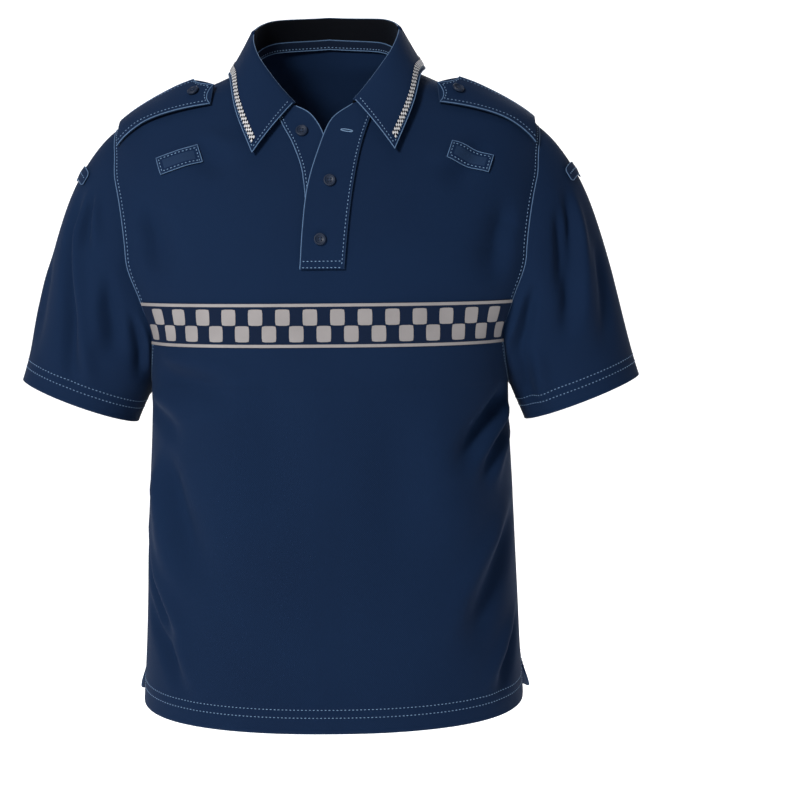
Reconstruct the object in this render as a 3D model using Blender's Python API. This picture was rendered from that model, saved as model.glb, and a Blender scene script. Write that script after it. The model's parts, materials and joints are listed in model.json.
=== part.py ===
"""Police polo shirt, filled out as if worn: every cut piece is a thin wall of its own.

Metres, +Z up, the shirt faces -Y. The origin is the middle of the neck opening, level with the
points where the shoulder seams meet the neckline.
"""

import math

import bmesh
import bpy
from mathutils import Vector

# Driving dimensions.
CLOTH_WALL = 0.0014
TRIM_WALL = 0.0011
SEAM_GAP = 0.0003
SLEEVE_GAP = 0.0006
TRIM_LIFT = 0.0007
SMALL_STEP = 1e-4

SHOULDER_POINT = -0.061
SHOULDER_NECK_POINT = 0.0100
SHOULDER_SHARE = 0.55
UNDERARM = -0.340
ARMHOLE_REACH_FRONT = 0.078
ARMHOLE_REACH_BACK = 0.080
ARMHOLE_CORNER_UPPER = 1.63
ARMHOLE_CORNER_LOWER = 2.2

HEM_CENTRE = -0.7075
HEM_SIDE = -0.6920
VENT_TOP = -0.650
VENT_FLARE = 0.009
VENT_FLARE_SPAN = 0.050
VENT_GAP = 0.0022
VENT_GAP_SPAN = 0.030
SIDE_DEPTH = 0.13
SHOULDER_DEPTH = 0.06
HEM_SPREAD = 0.16
HEM_DIP_POWER = 0.8
HEM_SETTLE_POWER = 2.2
FRONT_CORNER = 0.040
BACK_CORNER = 0.028

PLACKET_CUT = (SHOULDER_POINT + UNDERARM) / 2
PLACKET_TUCK = 0.008
PLACKET_NECK_TURN = 142.0

NECK_HALF_WIDTH = 0.0835
NECK_END = 158.0
COLLAR_LEAN = 0.10
COLLAR_TILT = 0.004
COLLAR_BULGE = 0.0035
COLLAR_FRONT_STEP = 0.0020
TAPE_FROM_EDGE = 0.0045
TAPE_WIDTH = 0.0075
TAPE_END = NECK_END - 5.0
NECK_TAPE_WIDTH = 0.0105
NECK_TAPE_END = 84.0
NECK_TAPE_CLEARANCE = 0.0030

SLEEVE_HEM_CENTRE = Vector((0.2805, 0.0, -0.3605))
SLEEVE_HEM_OUT = Vector((0.934, 0.0, 0.358))
SLEEVE_HEM_HALF_WIDTH = 0.0685
SLEEVE_HEM_HALF_DEPTH = 0.062
SLEEVE_TENSION = 0.30

BAND_TOP = -0.2485
BAND_BOTTOM = -0.2945
BAND_WALL = 0.0008
BAND_LIFT = 0.0016
TAPE_LIFT = 0.0008
BAND_TRIM = 0.022

# x, y and half width at the armhole end, and at the end near the neck.
EPAULETTE_OUTER = (0.2255, -0.018, 0.0205)
EPAULETTE_INNER = (0.1410, -0.034, 0.0190)
EPAULETTE_TIP = 0.1195
EPAULETTE_SHOULDER = 0.8
EPAULETTE_WALL = 0.0018
EPAULETTE_LIFT = 0.0020

LOOP_CENTRE = (0.1550, -0.0965)
LOOP_SIZE = (0.0465, 0.0185)
LOOP_TILT = math.radians(19.0)

TAB_ALONG = 0.235
TAB_HALF_WIDTH = 0.0080
TAB_REACH = math.radians(31.0)
TAB_STRAIGHT = 0.90
TAB_ROUNDING = 0.60
TAB_LEAN = 0.050

BUTTON_RADIUS = 0.0066
BUTTON_HEIGHT = 0.0030
BUTTON_SIDES = 20
BUTTON_RIM = 0.0016
BUTTON_DISH = 0.0007

# Rows of each panel: below the underarm, up the lower armhole, and up the rest of it.
ROWS_BODY = 7
ROWS_ARMHOLE = 5
ROWS_UPPER = 8
ROWS_LOWER = ROWS_BODY + ROWS_ARMHOLE
PANEL_ROWS = ROWS_LOWER + ROWS_UPPER
PANEL_COLUMNS = 18
COLUMNS_BESIDE_CUT = 8

# Level sections of the shirt from the back of the neck to the hem. The columns are height,
# half width, depth in front, depth behind, and how square the corners are.
BODY_SECTIONS = (
    (0.0400, 0.0795, 0.0480, 0.0710, 2.00),
    (0.0100, 0.0835, 0.0500, 0.0770, 2.00),
    (-0.0100, 0.1180, 0.0560, 0.0840, 2.00),
    (-0.0275, 0.1660, 0.0620, 0.0900, 2.03),
    (-0.0610, 0.2320, 0.0805, 0.1005, 2.10),
    (-0.0850, 0.2430, 0.0935, 0.1060, 2.25),
    (-0.1200, 0.2500, 0.1100, 0.1120, 2.40),
    (-0.2000, 0.2430, 0.1310, 0.1195, 2.55),
    (-0.2500, 0.2190, 0.1355, 0.1215, 2.60),
    (-0.2900, 0.2010, 0.1370, 0.1225, 2.60),
    (-0.3400, 0.1980, 0.1375, 0.1230, 2.55),
    (-0.5000, 0.2045, 0.1380, 0.1245, 2.50),
    (-0.6200, 0.2095, 0.1395, 0.1265, 2.50),
    (-0.7200, 0.2160, 0.1430, 0.1300, 2.45),
)

# The neckline from the back of the neck forwards: turn, height of the seam, and height of the
# collar's fold above it.
NECK_SECTIONS = (
    (0.0, 0.0350, 0.0300),
    (45.0, 0.0300, 0.0310),
    (90.0, 0.0100, 0.0330),
    (125.0, -0.0140, 0.0230),
    (NECK_END, -0.0400, 0.0050),
)
# The edge of the collar leaf: turn, x, y and z.
LEAF_EDGE = (
    (0.0, 0.0000, 0.0880, 0.0230),
    (45.0, 0.0790, 0.0640, 0.0160),
    (90.0, 0.1085, 0.0000, 0.0010),
    (108.0, 0.1050, -0.0350, -0.0078),
    (125.0, 0.0985, -0.0668, -0.0372),
    (NECK_END, 0.0757, -0.1010, -0.0885),
)

# Both edges of each placket strip, from the collar down to the foot of the opening. The columns
# are x and z of the left edge, then x and z of the right edge.
UNDER_PLACKET = (
    (-0.0580, -0.0275, -0.0335, -0.0395),
    (-0.0450, -0.0590, -0.0165, -0.0480),
    (-0.0320, -0.0830, -0.0015, -0.0690),
    (-0.0215, -0.1150, 0.0070, -0.1010),
    (-0.0185, -0.1500, 0.0110, -0.1450),
    (-0.0200, -0.2060, 0.0130, -0.2060),
)
OVER_PLACKET = (
    (0.0300, -0.0400, 0.0600, -0.0260),
    (0.0085, -0.0560, 0.0500, -0.0520),
    (-0.0060, -0.0900, 0.0395, -0.0850),
    (-0.0176, -0.1336, 0.0310, -0.1300),
    (-0.0215, -0.1700, 0.0262, -0.1690),
    (-0.0243, -0.2130, 0.0222, -0.2130),
)
# Each button's node, place on the front, and which strip carries it: 0 the lower, 1 the upper.
PLACKET_BUTTONS = (
    ("button_top", -0.0235, -0.0700, 0.0),
    ("button_middle", 0.0068, -0.1230, 1.0),
    ("button_bottom", -0.0030, -0.1832, 1.0),
)

NAVY = (0.010, 0.022, 0.060, 1.0)
DARK_NAVY = (0.006, 0.013, 0.036, 1.0)
SILVER = (0.420, 0.400, 0.410, 1.0)
PALE = (0.700, 0.700, 0.720, 1.0)


def clear_scene():
    for thing in list(bpy.data.objects):
        bpy.data.objects.remove(thing, do_unlink=True)


def material(name, colour, roughness):
    look = bpy.data.materials.new(name)
    look.use_nodes = True
    shader = look.node_tree.nodes["Principled BSDF"]
    shader.inputs["Base Color"].default_value = colour
    shader.inputs["Roughness"].default_value = roughness
    shader.inputs["Metallic"].default_value = 0.0
    look.diffuse_color = colour
    return look


def slope_at(table, row, column):
    """The slope of a table's column at one of its rows, flattened where the column turns back."""
    if row in (0, len(table) - 1):
        first, last = (0, 1) if row == 0 else (row - 1, row)
        return (table[last][column] - table[first][column]) / (table[last][0] - table[first][0])
    before = (table[row][column] - table[row - 1][column]) / (table[row][0] - table[row - 1][0])
    after = (table[row + 1][column] - table[row][column]) / (table[row + 1][0] - table[row][0])
    if before * after <= 0:
        return 0.0
    return 2 * before * after / (before + after)


def read_table(table, key):
    """Every column after the first, on a smooth curve through the rows."""
    falling = table[0][0] > table[-1][0]
    row = 0
    while row < len(table) - 2 and (key < table[row + 1][0]) == falling:
        row += 1
    span = table[row + 1][0] - table[row][0]
    part = (key - table[row][0]) / span
    values = []
    for column in range(1, len(table[0])):
        start, end = table[row][column], table[row + 1][column]
        leave = slope_at(table, row, column) * span
        arrive = slope_at(table, row + 1, column) * span
        bend = 3 * (end - start) - 2 * leave - arrive
        twist = 2 * (start - end) + leave + arrive
        values.append(start + part * (leave + part * (bend + part * twist)))
    return values


def body_point(angle, height):
    """A point of the shirt's outer face. The angle runs from the middle of the front towards +X."""
    half_width, front, back, corner = read_table(BODY_SECTIONS, height)
    across, ahead = math.sin(angle), math.cos(angle)
    reach = (abs(across) ** corner + abs(ahead) ** corner) ** (-1 / corner)
    if ahead < 0:
        half_width += vent_flare(height)
    depth = front if ahead > 0 else back
    return Vector((half_width * reach * across, -depth * reach * ahead, height))


def vent_flare(height):
    below = min(1.0, max(0.0, (VENT_TOP - height) / VENT_FLARE_SPAN))
    return VENT_FLARE * below * below * (3 - 2 * below)


def lifted(surface, first, second, lift):
    """A point of a surface, moved out along its normal."""
    point = surface(first, second)
    along = surface(first + SMALL_STEP, second) - surface(first - SMALL_STEP, second)
    up = surface(first, second + SMALL_STEP) - surface(first, second - SMALL_STEP)
    return point + along.cross(up).normalized() * lift


def front_angle(x, height):
    half_width, _, _, corner = read_table(BODY_SECTIONS, height)
    across = min(abs(x) / half_width, 1.0)
    ahead = (1 - across**corner) ** (1 / corner)
    return math.copysign(math.atan2(across, ahead), x)


def front_point(x, height, lift):
    return lifted(body_point, front_angle(x, height), height, lift)


def top_point(x, y, lift):
    """A point of the shoulder above a place in plan."""
    low, high = -0.20, 0.039
    for _ in range(40):
        height = (low + high) / 2
        half_width, front, back, corner = read_table(BODY_SECTIONS, height)
        depth = front if y < 0 else back
        inside = (abs(x) / half_width) ** corner + (abs(y) / depth) ** corner < 1
        low, high = (height, high) if inside else (low, height)
    half_width, front, back, corner = read_table(BODY_SECTIONS, low)
    depth = front if y < 0 else back
    return lifted(body_point, math.atan2(x / half_width, -y / depth), low, lift)


def armhole(swing):
    """The armhole seam of the +X side: 90 degrees is its top, 0 the front, -90 the underarm."""
    middle = (SHOULDER_POINT + UNDERARM) / 2
    height = middle + (SHOULDER_POINT - UNDERARM) / 2 * math.sin(swing)
    level = min(abs(math.sin(swing)), 1.0)
    squareness = ARMHOLE_CORNER_UPPER if math.sin(swing) > 0 else ARMHOLE_CORNER_LOWER
    fullness = (1 - level**squareness) ** (1 / squareness)
    _, front, back, corner = read_table(BODY_SECTIONS, height)
    if math.cos(swing) >= 0:
        ahead = fullness * ARMHOLE_REACH_FRONT / front
    else:
        ahead = -fullness * ARMHOLE_REACH_BACK / back
    across = (1 - abs(ahead) ** corner) ** (1 / corner)
    return math.atan2(across, ahead), height


def armhole_swing(height):
    middle = (SHOULDER_POINT + UNDERARM) / 2
    level = (height - middle) / ((SHOULDER_POINT - UNDERARM) / 2)
    return math.asin(min(1.0, max(-1.0, level)))


def neckline(turn):
    """The neck seam: 0 degrees is the back of the neck, positive turns pass the +X side."""
    height, stand = read_table(NECK_SECTIONS, abs(turn))
    x = NECK_HALF_WIDTH * math.sin(math.radians(turn))
    angle = front_angle(x, height)
    if abs(turn) < 90.0:
        angle = math.copysign(math.pi, turn) - angle if turn else math.pi
    return angle, height, stand


def blend(start, end, part):
    return start[0] + (end[0] - start[0]) * part, start[1] + (end[1] - start[1]) * part


def coons(bottom, top, left, right, u, v):
    """A place inside four edges, in the angle and height of the body."""
    values = []
    for k in (0, 1):
        ruled = (1 - v) * bottom(u)[k] + v * top(u)[k] + (1 - u) * left(v)[k] + u * right(v)[k]
        corners = (1 - u) * ((1 - v) * bottom(0)[k] + v * top(0)[k])
        corners += u * ((1 - v) * bottom(1)[k] + v * top(1)[k])
        values.append(ruled - corners)
    return values


def hem_height(angle, corner_size):
    """The hem dips in the middle, and turns up in a round corner at each side vent."""
    dip = HEM_SIDE + (HEM_CENTRE - HEM_SIDE) * abs(math.cos(angle)) ** HEM_DIP_POWER
    to_side = abs(abs(math.remainder(angle, 2 * math.pi)) - math.pi / 2) * HEM_SPREAD
    inside = max(0.0, corner_size - to_side)
    return dip + corner_size - math.sqrt(corner_size**2 - inside**2)


def side_angle(height):
    """Where a panel's side edge lies: at the side seam, or back from it along the vent."""
    gap = SEAM_GAP / 2
    if height < VENT_TOP:
        gap += VENT_GAP * min(1.0, (VENT_TOP - height) / VENT_GAP_SPAN)
    return math.pi / 2 - gap / SIDE_DEPTH


def edge_angle(height, back):
    side = side_angle(height)
    if height <= UNDERARM:
        return math.pi - side if back else side
    swing = armhole_swing(height)
    if back:
        return max(armhole(math.pi - swing)[0], math.pi - side)
    return min(armhole(swing)[0], side)


def shoulder_and_neck(share, neck_to, back):
    """The top of a half panel: up the shoulder seam, then along the neckline."""
    nudge = SEAM_GAP / SHOULDER_DEPTH
    ridge = math.pi / 2 + (nudge if back else -nudge)
    if share <= SHOULDER_SHARE:
        climb = SHOULDER_NECK_POINT - SHOULDER_POINT
        return ridge, SHOULDER_POINT + climb * share / SHOULDER_SHARE
    part = (share - SHOULDER_SHARE) / (1 - SHOULDER_SHARE)
    angle, height, _ = neckline(90.0 + (neck_to - 90.0) * part)
    return angle, height


def upper_half(u, v, inner_edge, neck_to, base, back):
    """A half panel above its base level. u runs from the armhole to the inner edge."""
    start = armhole_swing(base)

    def left(share):
        swing = start + (math.pi / 2 - start) * share
        return armhole(math.pi - swing if back else swing)

    def top(share):
        return shoulder_and_neck(share, neck_to, back)

    def bottom(share):
        return blend(left(0), inner_edge(0), share)

    angle, height = coons(bottom, top, left, inner_edge, u, v)
    ridge = top(0)[0]
    return (max(angle, ridge) if back else min(angle, ridge)), height


def strip_edges(table, place):
    """Both edges of a placket strip, place running from 0 at the collar to 1 at its foot."""
    rows = [(index, *row) for index, row in enumerate(table)]
    return read_table(rows, place * (len(table) - 1))


def placket_cut_edge(table, side, share):
    """An edge of the cut in the front, tucked under the strip that covers it."""
    left_x, left_z, right_x, right_z = strip_edges(table, 1 - share)
    x, height = (left_x + PLACKET_TUCK, left_z) if side < 0 else (right_x - PLACKET_TUCK, right_z)
    return x, height


def front_place(u, v):
    """The front panel, with the placket cut left out of its middle columns."""
    left_share = COLUMNS_BESIDE_CUT / PANEL_COLUMNS
    right_share = 1 - left_share
    split = ROWS_LOWER / PANEL_ROWS
    if v > split:
        rise = (v - split) / (1 - split)
        return front_upper(u, rise, left_share, right_share)
    height = row_height(v / split)
    edge = edge_angle(height, False)
    cuts = cut_angles(height)
    if u <= left_share:
        angle = -edge + (cuts[0] + edge) * u / left_share
    elif u < right_share:
        angle = cuts[0] + (cuts[1] - cuts[0]) * (u - left_share) / (right_share - left_share)
    else:
        angle = cuts[1] + (edge - cuts[1]) * (u - right_share) / (1 - right_share)
    return angle, settle_hem(angle, height, FRONT_CORNER)


def cut_angles(height):
    left = placket_cut_edge(UNDER_PLACKET, -1, 0)[0]
    right = placket_cut_edge(OVER_PLACKET, 1, 0)[0]
    return front_angle(left, height), front_angle(right, height)


def row_height(share):
    """Heights of the level rows: even below the underarm, closer together just above it."""
    row = share * ROWS_LOWER
    if row <= ROWS_BODY:
        return HEM_CENTRE + (UNDERARM - HEM_CENTRE) * row / ROWS_BODY
    return armhole(-math.pi / 2 * (1 - (row - ROWS_BODY) / ROWS_ARMHOLE))[1]


def settle_hem(angle, height, corner_size):
    """Rows near the hem follow its curve, and level out higher up."""
    span = UNDERARM - HEM_CENTRE
    share = min(1.0, max(0.0, (height - HEM_CENTRE) / span))
    rise = hem_height(angle, corner_size) - HEM_CENTRE
    return height + rise * (1 - share) ** HEM_SETTLE_POWER


def front_upper(u, rise, left_share, right_share):
    """The front above the foot of the placket cut, on either side of it."""
    if u < (left_share + right_share) / 2:
        table, side, part = UNDER_PLACKET, -1, min(u / left_share, 1.0)
    else:
        table, side, part = OVER_PLACKET, 1, min((1 - u) / (1 - right_share), 1.0)
    end_angle, end_height, _ = neckline(PLACKET_NECK_TURN)
    end_x = body_point(end_angle, end_height).x

    def inner_edge(share):
        height = PLACKET_CUT + (end_height - PLACKET_CUT) * share
        x = cut_bow(table, side, height) if share < 1 else end_x * side
        return side * front_angle(x, height), height

    angle, height = upper_half(part, rise, inner_edge, PLACKET_NECK_TURN, PLACKET_CUT, False)
    return side * angle, height


def cut_bow(table, side, height):
    """The cut edge's x at a height, read from the strip that covers it."""
    low, high = 0.0, 1.0
    for _ in range(30):
        middle = (low + high) / 2
        if placket_cut_edge(table, side, middle)[1] < height:
            low = middle
        else:
            high = middle
    return placket_cut_edge(table, side, low)[0]


def back_place(u, v):
    """The back panel, from one side seam round to the other."""
    split = ROWS_LOWER / PANEL_ROWS
    if v > split:
        part = min(u, 1 - u) * 2
        neck_height = neckline(0.0)[1]

        def middle(share):
            return math.pi, PLACKET_CUT + (neck_height - PLACKET_CUT) * share

        rise = (v - split) / (1 - split)
        angle, height = upper_half(part, rise, middle, 0.0, PLACKET_CUT, True)
        return (angle if u <= 0.5 else 2 * math.pi - angle), height
    height = row_height(v / split)
    edge = edge_angle(height, True)
    angle = edge + (2 * math.pi - 2 * edge) * u
    return angle, settle_hem(angle, height, BACK_CORNER)


def sleeve_point(swing, along):
    """The +X sleeve's outer face: along runs from 0 at the armhole to 1 at the hem."""
    start = body_point(*armhole(swing))
    top, side = math.sin(swing), math.cos(swing)
    leave = Vector((0.57 + 0.23 * top, -0.22 * side, -0.78 + 0.18 * top)).normalized()
    start = start + leave * SLEEVE_GAP
    end = SLEEVE_HEM_CENTRE + SLEEVE_HEM_OUT * SLEEVE_HEM_HALF_WIDTH * top
    end = end + Vector((0, -SLEEVE_HEM_HALF_DEPTH * side, 0))
    arrive = Vector((0.33, 0.0, -0.94))
    reach = (end - start).length * SLEEVE_TENSION
    first, second = start + leave * reach, end - arrive * reach
    rest = 1 - along
    return (
        start * rest**3
        + first * (3 * rest**2 * along)
        + second * (3 * rest * along**2)
        + end * along**3
    )


def collar_tilt(turn):
    """The collar sits a little higher towards its +X front end."""
    return COLLAR_TILT * math.sin(math.radians(turn)) * (1 - math.cos(math.radians(turn))) / 2


def fold_point(turn):
    """The collar's fold, above the neck seam."""
    angle, height, stand = neckline(turn)
    seam = body_point(angle, height)
    lean = Vector((seam.x, seam.y, 0)).normalized() * -COLLAR_LEAN
    return seam + (Vector((0, 0, 1)) + lean) * (stand + collar_tilt(turn))


def leaf_edge(turn):
    x, y, z = read_table(LEAF_EDGE, abs(turn))
    return Vector((math.copysign(x, turn), y, z + collar_tilt(turn)))


def outwards(turn):
    side = math.radians(turn)
    return Vector((math.sin(side), math.cos(side), 0.25)).normalized()


def leaf_point(turn, down):
    """The collar leaf's outer face: down runs from 0 at the fold to 1 at its edge."""
    ahead = -math.cos(math.radians(turn))
    step = CLOTH_WALL + 2 * SEAM_GAP + COLLAR_FRONT_STEP * max(0.0, ahead) ** 2
    fold = fold_point(turn) + outwards(turn) * step
    edge = leaf_edge(turn)
    bulge = outwards(turn) * COLLAR_BULGE * ahead**2 * 4 * down * (1 - down)
    return fold + (edge - fold) * down + bulge


def stand_point(turn, up):
    angle, height, stand = neckline(turn)
    seam = body_point(angle, height) + Vector((0, 0, 2 * SEAM_GAP))
    return seam + (fold_point(turn) - seam) * up


def sleeve_outside(swing, minus_along):
    """The sleeve, measured so that the normal that lifted() finds points outwards."""
    return sleeve_point(swing, -minus_along)


def normal_of(surface, first, second):
    return lifted(surface, first, second, 1.0) - surface(first, second)


def armhole_normal(swing):
    """The direction shared by the body's wall and the sleeve's wall where they meet."""
    body = normal_of(body_point, *armhole(swing))
    sleeve = normal_of(sleeve_outside, swing, -2 * SMALL_STEP)
    return (body + sleeve).normalized()


def body_wall(angle, height, depth, on_edge):
    """A point of a body panel at a depth, sharing the sleeve's direction along the armhole."""
    if not on_edge or not UNDERARM - SMALL_STEP < height < SHOULDER_POINT + SMALL_STEP:
        return lifted(body_point, angle, height, -depth)
    angle = math.remainder(angle, 2 * math.pi)
    swing = armhole_swing(height)
    if abs(angle) > math.pi / 2:
        swing = math.pi - swing
    inwards = armhole_normal(swing) * -depth
    if angle < 0:
        inwards.x = -inwards.x
    return body_point(angle, height) + inwards


def cloth(name, columns, rows, place, wall, look, closed=False, mirrored=False, cut=None):
    """A wall of cloth: place(u, v, depth) gives a point at a depth under the outer face."""
    mesh = bmesh.new()
    bmesh.ops.create_grid(mesh, x_segments=columns, y_segments=rows, size=0.5)
    u_layer = mesh.verts.layers.float.new("u")
    v_layer = mesh.verts.layers.float.new("v")
    for vertex in mesh.verts:
        vertex[u_layer] = round((vertex.co.x + 0.5) * columns)
        vertex[v_layer] = round((vertex.co.y + 0.5) * rows)
    if cut:
        cut_away = [vertex for vertex in mesh.verts if cut(vertex[u_layer], vertex[v_layer])]
        bmesh.ops.delete(mesh, geom=cut_away, context="VERTS")

    def settle(vertices, depth):
        for vertex in vertices:
            vertex.co = place(vertex[u_layer] / columns, vertex[v_layer] / rows, depth)

    settle(mesh.verts, wall)
    if closed:
        bmesh.ops.remove_doubles(mesh, verts=mesh.verts, dist=1e-6)
    outside = bmesh.ops.extrude_face_region(mesh, geom=mesh.faces[:], use_keep_orig=True)["geom"]
    settle([item for item in outside if isinstance(item, bmesh.types.BMVert)], 0.0)
    if mirrored:
        bmesh.ops.scale(mesh, verts=mesh.verts, vec=(-1, 1, 1))
    bmesh.ops.recalc_face_normals(mesh, faces=mesh.faces)
    return as_object(name, mesh, look)


def as_object(name, mesh, look):
    data = bpy.data.meshes.new(name)
    mesh.to_mesh(data)
    mesh.free()
    data.materials.append(look)
    data.shade_smooth()
    thing = bpy.data.objects.new(name, data)
    bpy.context.scene.collection.objects.link(thing)
    return thing


def make_front(look):
    first, last = COLUMNS_BESIDE_CUT, PANEL_COLUMNS - COLUMNS_BESIDE_CUT

    def in_cut(column, row):
        return first < column < last and row > ROWS_LOWER

    def place(u, v, depth):
        return body_wall(*front_place(u, v), depth, u in (0, 1))

    cloth("front", PANEL_COLUMNS, PANEL_ROWS, place, CLOTH_WALL, look, cut=in_cut)


def make_back(look):
    def place(u, v, depth):
        return body_wall(*back_place(u, v), depth, u in (0, 1))

    cloth("back", PANEL_COLUMNS, PANEL_ROWS, place, CLOTH_WALL, look)


def sleeve_swing(u):
    """The columns of a sleeve meet the rows of the front, then those of the back."""
    columns = ROWS_ARMHOLE + ROWS_UPPER
    place = u * 2 * columns
    row = place if place <= columns else 2 * columns - place
    if row <= ROWS_ARMHOLE:
        swing = math.pi / 2 * (row / ROWS_ARMHOLE - 1)
    else:
        swing = math.pi / 2 * (row - ROWS_ARMHOLE) / ROWS_UPPER
    return swing if place <= columns else math.pi - swing


def make_sleeves(look):
    def place(u, v, depth):
        swing = sleeve_swing(u % 1.0)
        if v == 1:
            return sleeve_point(swing, 0) - armhole_normal(swing) * depth
        return lifted(sleeve_outside, swing, v - 1, -depth)

    columns = 2 * (ROWS_ARMHOLE + ROWS_UPPER)
    for name, mirrored in (("sleeve_right", False), ("sleeve_left", True)):
        cloth(name, columns, 10, place, CLOTH_WALL, look, closed=True, mirrored=mirrored)


def make_collar(look):
    def stand(u, v, depth):
        turn = NECK_END * (1 - 2 * u)
        point = stand_point(turn, v)
        return point - Vector((point.x, point.y, 0)).normalized() * depth

    def leaf(u, v, depth):
        return lifted(leaf_outside, -NECK_END * (1 - 2 * u), v - 1, -depth)

    cloth("collar_stand", 26, 2, stand, CLOTH_WALL, look)
    cloth("collar_leaf", 28, 4, leaf, CLOTH_WALL, look)


def leaf_outside(minus_turn, minus_down):
    """The leaf, measured so that the normal that lifted() finds points outwards."""
    return leaf_point(-minus_turn, -minus_down)


def make_collar_tape(look):
    def place(u, v, depth):
        turn = TAPE_END * (1 - 2 * u)
        length = (leaf_edge(turn) - fold_point(turn)).length
        from_edge = TAPE_FROM_EDGE + TAPE_WIDTH * v
        return lifted(leaf_outside, -turn, from_edge / length - 1, TAPE_LIFT + BAND_WALL - depth)

    cloth("collar_check_tape", 40, 1, place, BAND_WALL, look)


def make_neck_tape(look):
    def place(u, v, depth):
        angle, height, _ = neckline(NECK_TAPE_END * (1 - 2 * u))
        seam = body_point(angle, height)
        inwards = Vector((-seam.x, -seam.y, 0)).normalized()
        clear = CLOTH_WALL + NECK_TAPE_CLEARANCE + depth
        return seam + inwards * clear + Vector((0, 0, NECK_TAPE_WIDTH * (v - 0.5)))

    cloth("neck_tape", 20, 1, place, BAND_WALL, look)


def make_plackets(look):
    def strip(table, lift):
        def place(u, v, depth):
            left_x, left_z, right_x, right_z = strip_edges(table, 1 - v)
            x = left_x + (right_x - left_x) * u
            height = left_z + (right_z - left_z) * u
            return front_point(x, height, lift - depth)

        return place

    under_lift = TRIM_LIFT + TRIM_WALL
    over_lift = under_lift + TRIM_LIFT + TRIM_WALL
    cloth("placket_under", 4, 14, strip(UNDER_PLACKET, under_lift), TRIM_WALL, look)
    cloth("placket_over", 4, 16, strip(OVER_PLACKET, over_lift), TRIM_WALL, look)


def make_bands(look):
    def strip(back):
        def place(u, v, depth):
            height = BAND_BOTTOM + (BAND_TOP - BAND_BOTTOM) * v
            edge = edge_angle(height, back)
            if back:
                edge += BAND_TRIM
                angle = edge + (2 * math.pi - 2 * edge) * u
            else:
                angle = (edge - BAND_TRIM) * (2 * u - 1)
            return lifted(body_point, angle, height, BAND_LIFT + BAND_WALL - depth)

        return place

    cloth("chest_band_front", 36, 2, strip(False), BAND_WALL, look)
    cloth("chest_band_back", 36, 2, strip(True), BAND_WALL, look)


def epaulette_place(u, v, depth):
    """A shoulder strap from the armhole to its point near the neck. u runs across, v along."""
    outer_x, outer_y, outer_half = EPAULETTE_OUTER
    inner_x, inner_y, inner_half = EPAULETTE_INNER
    across = 2 * u - 1
    share = min(v / EPAULETTE_SHOULDER, 1.0)
    x = outer_x + (inner_x - outer_x) * share
    if v > EPAULETTE_SHOULDER:
        past = (v - EPAULETTE_SHOULDER) / (1 - EPAULETTE_SHOULDER)
        x += (EPAULETTE_TIP - inner_x) * past * (1 - abs(across))
    half_width = outer_half + (inner_half - outer_half) * share
    y = outer_y + (inner_y - outer_y) * share + half_width * across
    return top_point(x, y, EPAULETTE_LIFT + EPAULETTE_WALL - depth)


def make_epaulettes(look, button_look):
    for side, mirrored in (("right", False), ("left", True)):
        cloth("epaulette_" + side, 4, 10, epaulette_place, EPAULETTE_WALL, look, mirrored=mirrored)
        x, y, _ = EPAULETTE_INNER
        base = top_point(x, y, EPAULETTE_LIFT + EPAULETTE_WALL + SEAM_GAP)
        tip = top_point(x, y, EPAULETTE_LIFT + 0.02)
        if mirrored:
            base.x, tip.x = -base.x, -tip.x
        make_button("epaulette_button_" + side, base, tip - base, button_look)


def make_loops(look):
    def place(u, v, depth):
        along, up = (u - 0.5) * LOOP_SIZE[0], (v - 0.5) * LOOP_SIZE[1]
        x = LOOP_CENTRE[0] + along * math.cos(LOOP_TILT) + up * math.sin(LOOP_TILT)
        height = LOOP_CENTRE[1] - along * math.sin(LOOP_TILT) + up * math.cos(LOOP_TILT)
        return front_point(x, height, TRIM_LIFT + TRIM_WALL - depth)

    cloth("chest_loop_right", 5, 2, place, TRIM_WALL, look)
    cloth("chest_loop_left", 5, 2, place, TRIM_WALL, look, mirrored=True)


def make_sleeve_tabs(look):
    def place(u, v, depth):
        across, end = 2 * v - 1, 2 * u - 1
        swing = math.pi / 2 + TAB_REACH * end
        length = (sleeve_point(swing, 1) - sleeve_point(swing, 0)).length
        past = max(0.0, abs(end) - TAB_STRAIGHT) / (1 - TAB_STRAIGHT)
        half_width = TAB_HALF_WIDTH * math.sqrt(1 - TAB_ROUNDING * past**2)
        along = TAB_ALONG - TAB_LEAN * abs(end) - across * half_width / length
        return lifted(sleeve_outside, swing, -along, TRIM_LIFT + TRIM_WALL - depth)

    cloth("sleeve_tab_right", 14, 2, place, TRIM_WALL, look)
    cloth("sleeve_tab_left", 14, 2, place, TRIM_WALL, look, mirrored=True)


def make_button(name, base, direction, look):
    """A turned button with a raised rim, standing on its base point."""
    mesh = bmesh.new()
    bmesh.ops.create_cone(
        mesh,
        cap_ends=True,
        segments=BUTTON_SIDES,
        radius1=BUTTON_RADIUS,
        radius2=BUTTON_RADIUS * 0.94,
        depth=BUTTON_HEIGHT,
    )
    bmesh.ops.translate(mesh, verts=mesh.verts, vec=(0, 0, BUTTON_HEIGHT / 2))
    top = max(mesh.faces, key=lambda face: face.calc_center_median().z)
    bmesh.ops.inset_region(mesh, faces=[top], thickness=BUTTON_RIM, depth=-BUTTON_DISH)
    thing = as_object(name, mesh, look)
    thing.location = base
    thing.rotation_mode = "QUATERNION"
    thing.rotation_quaternion = direction.to_track_quat("Z", "Y")


def make_placket_buttons(look):
    under_lift = TRIM_LIFT + TRIM_WALL
    for name, x, height, layer in PLACKET_BUTTONS:
        lift = under_lift + layer * (TRIM_LIFT + TRIM_WALL) + SEAM_GAP
        base = front_point(x, height, lift)
        make_button(name, base, front_point(x, height, 0.03) - base, look)


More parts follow.
